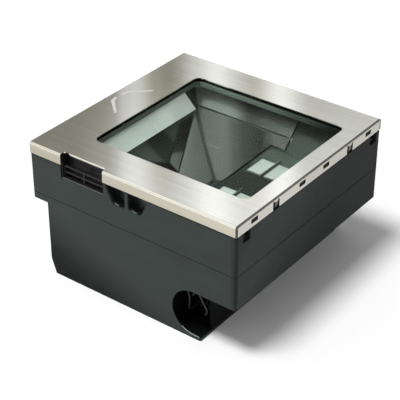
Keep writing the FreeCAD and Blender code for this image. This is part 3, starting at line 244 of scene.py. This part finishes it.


# painted shade on the right flange: lighter at the front, darker towards the rear
flangePaintedShade = {
    "along": {"way": (0.0, 1.0, 0.0),
              "stops": [(-145, (0.69, 0.68, 0.64)), (-60, (0.72, 0.71, 0.68)),
                        (10, (0.62, 0.61, 0.58)), (145, (0.60, 0.60, 0.56))]},
    # painted shade darkens the two tabs of the right side
    "spots": [((144, place - 3.1, 157), (147, place + 3.1, 166.9), 0.08)
              for place in (-72.5, 76.5)],
}
# painted shade on the housing: darker towards the bottom and the left; on the right wall a painted
# gradient, lighter at the front and darker towards the rear
housingLightAndShade = {
    "along": {"way": (0.38, 0.0, 1.0), "stops": [(-25, 0.12), (-11, 0.25), (0, 0.40), (10, 0.56),
                                                 (21, 0.72), (31, 0.88), (42, 1.0), (55, 1.05),
                                                 (160, 1.03)]},
    "wall": (0, 145.0),
    "past": {"way": (0.0, 1.0, -1.0), "stops": [(-275, 1.30), (-247, 1.75), (-205, 1.75),
                                                (-180, 1.50), (-150, 1.15), (-120, 0.75),
                                                (-90, 0.55), (-60, 0.38), (-30, 0.28), (0, 0.22),
                                                (60, 0.20)]},
    # painted shade at the front right corner twice, a painted shadow line under the platter, painted
    # shade in the cable bay, and a painted highlight on the bay's lip
    "spots": [((139.0, -150, -1), (150, -140, 158), 0.84),
              ((142.2, -150, -1), (150, -142.5, 158), 0.60),
              ((-150, -150, 156.4), (150, 150, 160), 0.05),
              ((57.9, -144.5, 2.9), (99.4, -60, 64.2), 0.05),
              ((66, -144.7, 2.9), (97, -143.7, 9.5), 8.0)],
}
# painted light and shade on the window's deck: lighter along its left edge; on the rear skirt
# lighter to the left and darker to the right, with painted highlight lines along its steps
deckLightAndShade = {
    "along": {"way": (1.0, 0.0, 0.0), "stops": [(-100, 5.5), (-90, 5.5), (-85, 1.0), (100, 1.0)]},
    "wall": (1, 100.0),
    "past": {"way": (1.0, 0.0, 0.0), "stops": [(-100, 7.5), (-50, 7.0), (0, 6.5), (60, 2.6),
                                               (105, 0.4)]},
    "steps": {"pitch": 3.4, "crest": (0.4, 1.0), "level": 0.8, "behind": 100.0},
}
# painted light and shade in the optics tub, along Y on its left half and on its right half, and a
# pale line painted into the shaded gap below the rear mirrors
tubLightAndShade = {
    "along": {"way": (0.0, 1.0, 0.0), "stops": [(-60, 2.6), (-10, 2.6), (2, 0.55), (25, 0.6),
                                                (38, 2.4), (100, 3.0)]},
    "wall": (0, 0.0),
    "past": {"way": (0.0, 1.0, 0.0), "stops": [(-60, 0.9), (10, 0.65), (30, 1.0), (80, 3.0),
                                               (95, 2.3), (110, 1.8)]},
    "spots": [((-60, 40, 127.3), (51.5, 120, 131.2), 10.0)],
}
# painted highlights on the lower lips of the two spouts and of the finger pocket
lipHighlights = {
    "spots": [((-24, -143.5, 132), (-17.5, -139.5, 134.5), 14.0),
              ((1, -143.5, 132), (8, -139.5, 134.5), 14.0),
              ((-100, -143.5, 139.7), (-36, -141.8, 141.4), 16.0)],
}


# hairlines and wider streaks by their noise scale across and along the brushing
brushedSheet = {
    "lines": [{"across": 1500.0, "along": 14.0, "detail": 3.0, "roughness": 0.6, "share": 0.6},
              {"across": 1500.0 / 9, "along": 3.5, "detail": 2.0, "roughness": 0.5, "share": 0.4}],
    "cloud": {"scale": 9.0, "detail": 3.0, "roughness": 0.5},
    "tones": [(0.32, 0.93), (0.68, 1.07)], "dull": 0.93, "dullShare": 0.35,
    "lineRoughness": (-0.05, 0.06), "cloudRoughness": (0.09, 0.14), "bump": (0.03, 0.0002),
}


def brushedSteel(name, colour, axis, paintedLightMaker, shade, size=brushedSheet):
    material, tree, shader, coords = newMaterial(name)
    layers = []
    for line in size["lines"]:
        scale = [line["across"]] * 3
        scale[axis] = line["along"]
        layer = noiseOn(tree, coords, tuple(scale), line["detail"], line["roughness"])
        layers.append(mathOn(tree, "MULTIPLY", layer, line["share"]))
    lines = mathOn(tree, "ADD", *layers)
    cloud = noiseOn(tree, coords, **size["cloud"])
    tone = rampOn(tree, lines, [(place, scaled(colour, level)) for place, level in size["tones"]])
    tone = blendOn(tree, rangeOn(tree, cloud, 0.0, size["dullShare"]), tone,
                   scaled(colour, size["dull"]))
    # painted reflection, light and shade from the given maker
    tone = timesOn(tree, tone, paintedLightMaker(tree, coords, shade))
    rough = mathOn(tree, "ADD", rangeOn(tree, lines, *size["lineRoughness"]),
                   rangeOn(tree, cloud, *size["cloudRoughness"]))
    setShader(tree, shader, Base_Color=tone, Metallic=1.0, Roughness=rough,
              Normal=bumpOn(tree, lines, *size["bump"]))
    return material


mouldedGrain = {
    "grain": {"scale": 2600.0, "detail": 2.0, "roughness": 0.7},
    "cloud": {"scale": 14.0, "detail": 4.0},
    "flow": {"scale": (6.0, 6.0, 38.0), "detail": 2.0},
    "tones": [(0.12, 0.9), (0.42, 1.12)], "fleck": 1.5, "fleckShare": 0.22,
    "grainRoughness": (-0.05, 0.08), "cloudRoughness": (0.46, 0.58), "bump": (0.22, 0.0002),
    "specular": 0.1,
}


def mouldedPlastic(name, colour, shade, size=mouldedGrain):
    material, tree, shader, coords = newMaterial(name)
    grain, cloud, flow = [noiseOn(tree, coords, **size[key]) for key in ("grain", "cloud", "flow")]
    tone = rampOn(tree, mathOn(tree, "MULTIPLY", cloud, flow),
                  [(place, scaled(colour, level)) for place, level in size["tones"]])
    tone = blendOn(tree, rangeOn(tree, grain, 0.0, size["fleckShare"]), tone,
                   scaled(colour, size["fleck"]))
    # painted light and shade
    tone = timesOn(tree, tone, paintedLightAndShadeOn(tree, coords, shade))
    rough = mathOn(tree, "ADD", rangeOn(tree, grain, *size["grainRoughness"]),
                   rangeOn(tree, cloud, *size["cloudRoughness"]))
    setShader(tree, shader, Base_Color=tone, Roughness=rough, Specular_IOR_Level=size["specular"],
              Normal=bumpOn(tree, grain, *size["bump"]))
    return material


# skins with a fine mottle: the cloud spreads the roughness, the grain makes the bump, and the one
# that "mottle" names turns the colour towards the tint
smoothSkin = {"cloud": {"scale": 60.0, "detail": 3.0}, "grain": {"scale": 1400.0, "detail": 2.0},
              "mottle": "cloud", "share": 0.5, "tint": 1.3, "spread": (-0.05, 0.08),
              "bump": (0.06, 0.0002)}
rubberSkin = {"cloud": {"scale": 50.0, "detail": 2.0}, "grain": {"scale": 900.0, "detail": 3.0},
              "mottle": "grain", "share": 0.5, "tint": 1.6, "spread": (-0.08, 0.08),
              "bump": (0.25, 0.0003), "shader": {"Specular_IOR_Level": 0.3}}
platedSkin = {"cloud": {"scale": 420.0, "detail": 3.0}, "grain": {"scale": 420.0, "detail": 3.0},
              "mottle": "grain", "share": 0.6, "tint": 0.8, "spread": (0.0, 0.15),
              "bump": (0.08, 0.0002), "shader": {"Metallic": 1.0}}
pipeSkin = {"cloud": {"scale": 300.0, "detail": 2.0}, "mottle": "cloud", "share": 0.6, "tint": 0.9,
            "spread": (0.0, 0.12), "shader": {"Subsurface_Weight": 0.15, "Subsurface_Scale": 0.001}}


def mottled(name, size, colour, roughness, shade=None, **inputs):
    material, tree, shader, coords = newMaterial(name)
    noises = {key: noiseOn(tree, coords, **size[key]) for key in ("cloud", "grain") if key in size}
    tone = blendOn(tree, rangeOn(tree, noises[size["mottle"]], 0.0, size["share"]), colour,
                   scaled(colour, size["tint"]))
    # painted light and shade, where given
    if shade:
        tone = timesOn(tree, tone, paintedLightAndShadeOn(tree, coords, shade))
    low, high = size["spread"]
    rough = rangeOn(tree, noises["cloud"], roughness + low, roughness + high)
    setShader(tree, shader, Base_Color=tone, Roughness=rough, **size.get("shader", {}), **inputs)
    if "bump" in size:
        setShader(tree, shader, Normal=bumpOn(tree, noises["grain"], *size["bump"]))
    return material


glassSkin = {"smear": {"scale": (9.0, 22.0, 9.0), "detail": 4.0}, "smearFrom": (0.35, 0.75),
             "roughness": (0.0, 0.02), "bend": 1.05, "specular": 0.3}


def coverGlass(name, tint, size=glassSkin):
    material, tree, shader, coords = newMaterial(name)
    smear = noiseOn(tree, coords, **size["smear"])
    setShader(tree, shader, Base_Color=(*tint, 1.0), Transmission_Weight=1.0, IOR=size["bend"],
              Specular_IOR_Level=size["specular"],
              Roughness=rangeOn(tree, smear, *size["roughness"], *size["smearFrom"]))
    # light from outside passes straight through to what lies below
    clear = addNode(tree, "ShaderNodeBsdfTransparent", {"Color": (*tint, 1.0)})
    path = addNode(tree, "ShaderNodeLightPath")
    mix = addNode(tree, "ShaderNodeMixShader", {0: path.outputs["Is Shadow Ray"],
                                                1: shader.outputs["BSDF"],
                                                2: clear.outputs["BSDF"]})
    tree.links.new(mix.outputs["Shader"], tree.nodes["Material Output"].inputs["Surface"])
    return material


mirrorSkin = {"wipe": {"scale": (6.0, 90.0, 6.0), "detail": 2.0}, "tint": (0.98, 1.02, 0.99),
              "dull": 0.5, "specular": 0.05, "roughness": (0.26, 0.28)}
# painted reflections: each mirror's colour is painted with what it shows of the dark inside;
# "film" is how metallic its face is, "streak" how far the wiping marks darken it, and "glow" a
# painted glow that stands in for what the long one reflects towards its rear end
paintedMirrorTones = {
    "rearMirror": {"way": (1.0, 0.8, 0.0), "film": 0.3,
                   "stops": [(-20, 0.15), (16, 0.145), (31, 0.135), (46, 0.078), (61, 0.045),
                             (84, 0.03), (98, 0.06), (107, 0.105), (130, 0.10), (150, 0.08)]},
    "rearUpperMirror": {"way": (1.0, 0.8, 0.0), "film": 0.3,
                        "stops": [(-10, 0.24), (40, 0.22), (71, 0.055), (101, 0.095),
                                  (130, 0.115), (160, 0.07)]},
    "facetMirror": {"way": (0.0, 0.0, 1.0),
                    "stops": [(60, 0.18), (80, 0.19), (100, 0.21), (124, 0.26)]},
    "stripMirror": {"way": (1.0, -0.3, 0.0),
                    "stops": [(-85, 0.02), (-72, 0.03), (-67, 0.12), (-40, 0.15)]},
    "longMirror": {"way": (0.0, 1.0, 0.0), "film": 0.3, "streak": 0.20,
                   "stops": [(-95, 0.95), (-30, 0.95), (19, 0.92), (60, 1.0), (95, 1.0)],
                   "glow": [(10, 0.0), (55, 0.05), (78, 0.15), (100, 0.20)]},
    "frontMirror": {"way": (1.0, 0.0, 0.0), "film": 0.3,
                    "stops": [(-100, 0.012), (-50, 0.008), (50, 0.012)]},
}


def mirrorFace(name, way, stops, film=0.5, streak=0.06, glow=None, size=mirrorSkin):
    material, tree, shader, coords = newMaterial(name)
    wipe = noiseOn(tree, coords, **size["wipe"])
    tone = timesOn(tree, toneOn(tree, coords, way, stops), size["tint"])
    tone = blendOn(tree, rangeOn(tree, wipe, 0.0, streak), tone,
                   scaled(size["tint"], size["dull"]), "MULTIPLY")
    setShader(tree, shader, Base_Color=tone, Metallic=film, Specular_IOR_Level=size["specular"],
              Roughness=rangeOn(tree, wipe, *size["roughness"]))
    # painted glow: an emission that stands in for a reflection
    if glow:
        setShader(tree, shader, Emission_Color=toneOn(tree, coords, way, glow),
                  Emission_Strength=1.0)
    return material


boardSkin = {"scale": 420.0, "uneven": 0.85, "tracks": (0.30, 0.42), "padScale": 168.0,
             "pads": (0.10, 0.13), "padColour": (0.55, 0.50, 0.36), "padMetal": 0.8,
             "roughness": 0.32, "bump": (0.12, 0.0003)}


def circuitBoard(name, resist, copper, size=boardSkin):
    material, tree, shader, coords = newMaterial(name)
    cells = addNode(tree, "ShaderNodeTexVoronoi", {"Vector": coords, "Scale": size["scale"],
                                                   "Randomness": size["uneven"]},
                    distance="MANHATTAN").outputs["Distance"]
    spots = addNode(tree, "ShaderNodeTexVoronoi", {"Vector": coords, "Scale": size["padScale"]})
    pads = rangeOn(tree, spots.outputs["Distance"], 1.0, 0.0, *size["pads"])
    tone = blendOn(tree, pads, rampOn(tree, cells, list(zip(size["tracks"], (resist, copper)))),
                   size["padColour"])
    setShader(tree, shader, Base_Color=tone, Roughness=size["roughness"],
              Metallic=mathOn(tree, "MULTIPLY", pads, size["padMetal"]),
              Normal=bumpOn(tree, cells, *size["bump"]))
    return material


# the platter's colour carries painted reflection; flange, housing, deck, spouts, pocket and tub
# carry painted light and shade
finishes = {
    "platterSteel": brushedSteel("platterSteel", (0.74, 0.74, 0.70), 0, paintedSheenOn, paintedSheen),
    "flangeSteel": brushedSteel("flangeSteel", (0.80, 0.785, 0.75), 1, paintedLightAndShadeOn, flangePaintedShade),
    "housing": mouldedPlastic("housingPlastic", (0.048, 0.059, 0.055), housingLightAndShade),
    "deck": mouldedPlastic("deckPlastic", (0.022, 0.025, 0.022), deckLightAndShade),
    "spout": mottled("spoutPlastic", smoothSkin, (0.011, 0.012, 0.012), 0.30, lipHighlights),
    "pocket": mottled("pocketPlastic", smoothSkin, (0.011, 0.011, 0.011), 0.34, lipHighlights,
                      Specular_IOR_Level=0.26),
    "tub": mottled("tubPlastic", smoothSkin, (0.018, 0.022, 0.019), 0.6, tubLightAndShade,
                   Specular_IOR_Level=0.1),
    "diffuser": mottled("lampDiffuser", smoothSkin, (0.35, 0.365, 0.35), 0.45,
                        Specular_IOR_Level=0.2),
    "fin": mottled("lampFin", smoothSkin, (0.10, 0.11, 0.10), 0.40, Specular_IOR_Level=0.2),
    "led": mottled("ledWhite", smoothSkin, (0.80, 0.78, 0.60), 0.25),
    "camera": mottled("cameraPlastic", smoothSkin, (0.014, 0.014, 0.017), 0.5),
    "can": mottled("canSleeve", smoothSkin, (0.04, 0.05, 0.10), 0.35),
    "plug": mottled("plugPlastic", smoothSkin, (0.020, 0.024, 0.024), 0.38),
    "pipe": mottled("lightPipe", pipeSkin, (0.70, 0.69, 0.65), 0.22),
    "seal": mottled("sealRubber", rubberSkin, (0.010, 0.010, 0.011), 0.85),
    "lead": mottled("leadRubber", rubberSkin, (0.045, 0.044, 0.044), 0.42),
    "shield": mottled("shieldSteel", platedSkin, (0.60, 0.60, 0.58), 0.28),
    "sink": mottled("sinkAluminium", platedSkin, (0.62, 0.63, 0.64), 0.35),
    "zinc": mottled("zincSteel", platedSkin, (0.60, 0.60, 0.57), 0.25),
    "socket": mottled("socketSteel", platedSkin, (0.42, 0.42, 0.41), 0.30),
    "glass": coverGlass("windowGlass", (0.87, 0.93, 0.89)),
    "lens": coverGlass("lensGlass", (0.55, 0.45, 0.70)),
    "lampBoard": circuitBoard("lampBoardResist", (0.010, 0.016, 0.013), (0.016, 0.026, 0.020)),
    "board": circuitBoard("circuitBoard", (0.012, 0.070, 0.034), (0.022, 0.115, 0.055)),
}
for toneName, tones in paintedMirrorTones.items():
    finishes[toneName] = mirrorFace(toneName, **tones)
print("materials made:", len(finishes))

finishOf = {
    "platter": "platterSteel", "platter_frame": "flangeSteel", "platter_gasket": "seal",
    "window_gasket": "seal", "window_glass": "glass", "window_frame": "deck",
    "light_pipe_front": "pipe", "light_pipe_rear": "pipe", "indicator_board": "board",
    "indicator_leds": "led", "upper_housing": "housing", "lower_housing": "housing",
    "housing_gasket": "seal", "finger_pocket": "pocket", "drain_spouts": "spout",
    "speaker": "camera", "optics_tub": "tub", "camera_mount": "camera",
    "camera_barrel": "camera", "camera_lens": "lens", "camera_board": "board",
    "main_board": "board", "shield_can": "shield", "heat_sink": "sink", "capacitors": "can",
    "port_board": "board", "port_sockets": "socket", "lead_plugs": "plug",
    "lead_grommet": "seal",
}
mirrorFinishes = {"rear_mirror": "rearMirror", "rear_upper_mirror": "rearUpperMirror",
                  "rear_left_mirror": "facetMirror", "rear_strip_mirror": "stripMirror",
                  "long_mirror": "longMirror"}
lampFinishes = {"board": "lampBoard", "diffuser": "diffuser", "fin": "fin"}
for nodeName in cadNodes:
    if nodeName.endswith("_mirror"):
        finishOf[nodeName] = mirrorFinishes.get(nodeName, "frontMirror")
    elif nodeName.endswith("_screws") or nodeName.startswith("housing_screws"):
        finishOf[nodeName] = "zinc"
    elif nodeName.startswith("lamp_"):
        finishOf[nodeName] = lampFinishes[nodeName.split("_")[1]]
for nodeName, finish in finishOf.items():
    mesh = cadNodes[nodeName].data
    mesh.materials.clear()
    mesh.materials.append(finishes[finish])
print("finishes given to", len(finishOf), "nodes")


# millimetres; a route has the grommet bore's X and Y, steps from there, and the plug's X and Z
leadSize = {"radius": 1.1, "exitHeight": 69.1, "portY": -107.0, "tail": 12.0, "roundness": 6,
            "order": 3, "smoothness": 16}
leadRoutes = {
    "lead_left": [(64, -128.5), [(1, 0, -12), (8, -1, -24), (9, -1, -37), (4, 2, -47)],
                  (68.5, 17)],
    "lead_middle": [(73, -124.5), [(2, 0, -9), (4, -1, -19), (1, -1, -28)], (68.5, 36)],
    "lead_right": [(82, -128.5), [(0, 0, -12), (8, -1, -26), (13, 2, -39), (9, 5, -49)],
                   (85.5, 17)],
}


def makeLead(name, entry, steps, port, size):
    top = (*entry, size["exitHeight"])
    points = [top] + [tuple(top[axis] + step[axis] for axis in range(3)) for step in steps]
    points += [(port[0], size["portY"] - size["tail"], port[1]), (port[0], size["portY"], port[1])]
    curve = bpy.data.curves.new(name + "_smooth", "CURVE")
    curve.dimensions = "3D"
    curve.bevel_depth = size["radius"] / 1000
    curve.bevel_resolution = size["roundness"]
    curve.use_fill_caps = True
    spline = curve.splines.new("NURBS")
    spline.points.add(len(points) - 1)
    for point, place in zip(spline.points, points):
        point.co = (*metres(place), 1.0)
    spline.order_u = size["order"]
    spline.use_endpoint_u = True
    spline.resolution_u = size["smoothness"]
    lead = bpy.data.objects.new(name + "_smooth", curve)
    scene.collection.objects.link(lead)
    curve.materials.append(finishes["lead"])
    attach(lead, "root")
    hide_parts(name)


for leadName, (entry, steps, port) in leadRoutes.items():
    makeLead(leadName, entry, steps, port, leadSize)
print("leads made:", len(leadRoutes))


# millimetres; the screws of a side stand in a row, head down, up to the same height
screwSize = {"head": 3.8, "headHeight": 2.6, "crown": 0.9, "crownSteps": 6, "socket": 1.45,
             "socketDepth": 1.7, "shank": 1.99, "root": 1.62, "pitch": 1.4, "point": 2.0,
             "pointShare": 0.6, "sides": 36, "count": 2, "apart": 228.0, "top": 122.8}
screwStarts = {"left": (-134.5, -112.0, 99.4), "right": (134.5, -112.0, 81.9)}


def screwMesh(name, length, size):
    outline = []  # (radius, height) pairs from the crowned head to the point
    for step in range(size["crownSteps"] + 1):
        turn = math.pi / 2 * step / size["crownSteps"]
        outline.append((size["head"] - size["crown"] * (1 - math.sin(turn)),
                        size["crown"] * (1 - math.cos(turn))))
    outline += [(size["head"], size["headHeight"]), (size["shank"], size["headHeight"])]
    height = size["headHeight"] + size["pitch"]
    while height < length - size["point"]:
        outline += [(size["root"], height), (size["shank"], height + size["pitch"] / 2)]
        height += size["pitch"]
    outline.append((size["root"] * size["pointShare"], length))
    sides = size["sides"]
    turns = [math.tau * side / sides for side in range(sides)]
    hexagon = [size["socket"] / math.cos(turn % (math.pi / 3) - math.pi / 6) for turn in turns]
    sections = [[(out, size["socketDepth"]) for out in hexagon], [(out, 0.0) for out in hexagon]]
    sections += [[point] * sides for point in outline]
    made = bmesh.new()
    rings = []
    for section in sections:
        places = [(out * math.cos(turn), out * math.sin(turn), height)
                  for turn, (out, height) in zip(turns, section)]
        rings.append([made.verts.new(metres(place)) for place in places])
    for lower, upper in zip(rings, rings[1:]):
        for side in range(sides):
            after = (side + 1) % sides
            made.faces.new((lower[side], lower[after], upper[after], upper[side]))
    made.faces.new(rings[0])
    made.faces.new(rings[-1])
    bmesh.ops.recalc_face_normals(made, faces=made.faces)
    mesh = bpy.data.meshes.new(name)
    made.to_mesh(mesh)
    made.free()
    return mesh


def makeScrewTree():
    tree = bpy.data.node_groups.new("screwRow", "GeometryNodeTree")
    sockets = {}
    for title, kind in (("Screw", "NodeSocketObject"), ("Count", "NodeSocketInt"),
                        ("Start", "NodeSocketVector"), ("Apart", "NodeSocketVector"),
                        ("Finish", "NodeSocketMaterial")):
        socket = tree.interface.new_socket(title, in_out="INPUT", socket_type=kind)
        sockets[title] = socket.identifier
    tree.interface.new_socket("Geometry", in_out="OUTPUT", socket_type="NodeSocketGeometry")
    given = tree.nodes.new("NodeGroupInput").outputs
    row = addNode(tree, "GeometryNodeMeshLine", {"Count": given["Count"], "Offset": given["Apart"],
                                                 "Start Location": given["Start"]})
    screw = addNode(tree, "GeometryNodeObjectInfo", {"Object": given["Screw"]})
    placed = addNode(tree, "GeometryNodeInstanceOnPoints", {"Points": row.outputs["Mesh"],
                                                            "Instance": screw.outputs["Geometry"]})
    real = addNode(tree, "GeometryNodeRealizeInstances",
                   {"Geometry": placed.outputs["Instances"]})
    painted = addNode(tree, "GeometryNodeSetMaterial", {"Geometry": real.outputs["Geometry"],
                                                        "Material": given["Finish"]})
    addNode(tree, "NodeGroupOutput", {"Geometry": painted.outputs["Geometry"]})
    return tree, sockets


def makeScrews(side, start, size, tree, sockets):
    length = size["top"] - start[2]
    single = bpy.data.objects.new("oneScrew_" + side, screwMesh("oneScrew_" + side, length, size))
    single.data.materials.append(finishes["zinc"])  # else the real mesh starts with an empty slot
    piece = bpy.data.objects.new("housing_screws_" + side + "_turned",
                                 bpy.data.meshes.new("screwRow_" + side))
    scene.collection.objects.link(piece)
    modifier = piece.modifiers.new("row", "NODES")
    modifier.node_group = tree
    modifier[sockets["Screw"]] = single
    modifier[sockets["Count"]] = size["count"]
    modifier[sockets["Start"]] = metres(start)
    modifier[sockets["Apart"]] = metres((0.0, size["apart"], 0.0))
    modifier[sockets["Finish"]] = finishes["zinc"]
    whole = piece.evaluated_get(bpy.context.evaluated_depsgraph_get())
    mesh = bpy.data.meshes.new_from_object(whole)
    piece.modifiers.remove(modifier)
    piece.data = mesh
    bpy.data.objects.remove(single)
    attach(piece, "root")
    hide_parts("housing_screws_" + side)


screwTree, screwSockets = makeScrewTree()
for sideName, screwStart in screwStarts.items():
    makeScrews(sideName, screwStart, screwSize, screwTree, screwSockets)
print("screws made:", len(screwStarts), "rows")


# metres and degrees; the lens and the sensor in millimetres
cameraSize = {"location": (0.7849, -1.0481, 0.9114), "elevation": 32.55, "lens": 116.6,
              "sensor": 36.0}


def makeCamera(size):
    lens = bpy.data.cameras.new("camera")
    lens.lens = size["lens"]
    lens.sensor_width = size["sensor"]
    camera = bpy.data.objects.new("camera", lens)
    camera.location = size["location"]
    camera.rotation_euler = (math.radians(90 - size["elevation"]), 0.0, math.radians(photoTurn))
    scene.collection.objects.link(camera)
    scene.camera = camera


makeCamera(cameraSize)


# metres; the floor shows white, and the light that it throws on the part fades along a way
floorSize = {"size": 14.0, "shown": 1.0, "lift": 0.07, "way": (0.8, 0.6, 0.0),
             "thrown": (0.85, 0.12), "reach": (-0.15, 0.30), "roughness": 0.9}


def makeFloor(size):
    half = size["size"] / 2
    mesh = bpy.data.meshes.new("floor")
    mesh.from_pydata([(-half, -half, 0.0), (half, -half, 0.0), (half, half, 0.0),
                      (-half, half, 0.0)], [], [(0, 1, 2, 3)])
    floor = bpy.data.objects.new("floor", mesh)
    scene.collection.objects.link(floor)
    material, tree, shader, coords = newMaterial("floorPaint")
    thrown = rangeOn(tree, dotOn(tree, coords, size["way"]), *size["thrown"], *size["reach"])
    path = addNode(tree, "ShaderNodeLightPath").outputs
    shown = mathOn(tree, "MAXIMUM", path["Is Camera Ray"], path["Is Glossy Ray"])
    shown = mathOn(tree, "MAXIMUM", shown, path["Is Transmission Ray"])
    setShader(tree, shader, Base_Color=rangeOn(tree, shown, thrown, size["shown"]),
              Roughness=size["roughness"], Specular_IOR_Level=0.0, Emission_Color=(*white, 1.0),
              Emission_Strength=mathOn(tree, "MULTIPLY", shown, size["lift"]))
    mesh.materials.append(material)


makeFloor(floorSize)


keyLight = {"from": (-0.17, -0.28, 0.95), "energy": 2.32, "softness": 17.0}


def makeSun(size):
    data = bpy.data.lights.new("keyLight", "SUN")
    data.energy = size["energy"]
    data.angle = math.radians(size["softness"])
    sun = bpy.data.objects.new("keyLight", data)
    sun.location = size["from"]
    sun.rotation_euler = (-sun.location).to_track_quat("-Z", "Y").to_euler()
    scene.collection.objects.link(sun)


makeSun(keyLight)


# what steel and glass mirror: a pale room with soft strips of light behind the reader, as
# (degrees to the right of straight ahead, brightness) pairs; "rise" has the strips' brightness at
# two heights of the view, and "ambient" and "tilt" light the part from all round
studio = {
    "room": 0.75, "ahead": -photoTurn, "spread": 24.0,
    "strips": [(-9.0, 0.52), (-5.0, 0.46), (-4.0, 0.62), (-3.0, 0.95), (-2.2, 0.92),
               (-1.3, 0.52), (-0.6, 0.62), (0.2, 1.22), (0.8, 1.18), (1.6, 0.80), (2.3, 0.68),
               (3.2, 1.15), (4.0, 1.08), (5.4, 0.70), (9.0, 0.80)],
    "rise": {"brightness": (0.86, 1.25), "height": (0.44, 0.57)},
    "ambient": 0.29, "tilt": 0.16, "tiltBack": 0.6,
}


def makeWorld(size):
    world = bpy.data.worlds.new("studio")
    world.use_nodes = True
    tree = world.node_tree
    way = addNode(tree, "ShaderNodeTexCoord").outputs["Generated"]
    wayX, wayY, wayZ = partsOf(tree, way)
    path = addNode(tree, "ShaderNodeLightPath").outputs
    turn = mathOn(tree, "ARCTAN2", wayX, wayY)  # to the right of +Y
    half = size["spread"] / 2
    bands = [(-half, size["room"])] + size["strips"] + [(half, size["room"])]
    strips = fanOn(tree, turn, size["ahead"], size["spread"], bands)
    rise = rangeOn(tree, wayZ, *size["rise"]["brightness"], *size["rise"]["height"])
    glow = scaleOn(tree, strips, rise)
    side = mathOn(tree, "ADD", wayX, mathOn(tree, "MULTIPLY", wayY, size["tiltBack"]))
    side = mathOn(tree, "MULTIPLY", side, -size["tilt"])
    fill = scaleOn(tree, white, mathOn(tree, "ADD", side, size["ambient"]))
    shown = mathOn(tree, "MAXIMUM", path["Is Camera Ray"], path["Is Transmission Ray"])
    seen = blendOn(tree, path["Is Glossy Ray"], fill, glow)
    seen = blendOn(tree, shown, seen, white)
    background = tree.nodes["Background"].inputs
    tree.links.new(seen, background["Color"])
    background["Strength"].default_value = 1.0
    scene.world = world


makeWorld(studio)

scene.view_settings.view_transform = "Standard"
print("camera, floor and light made")
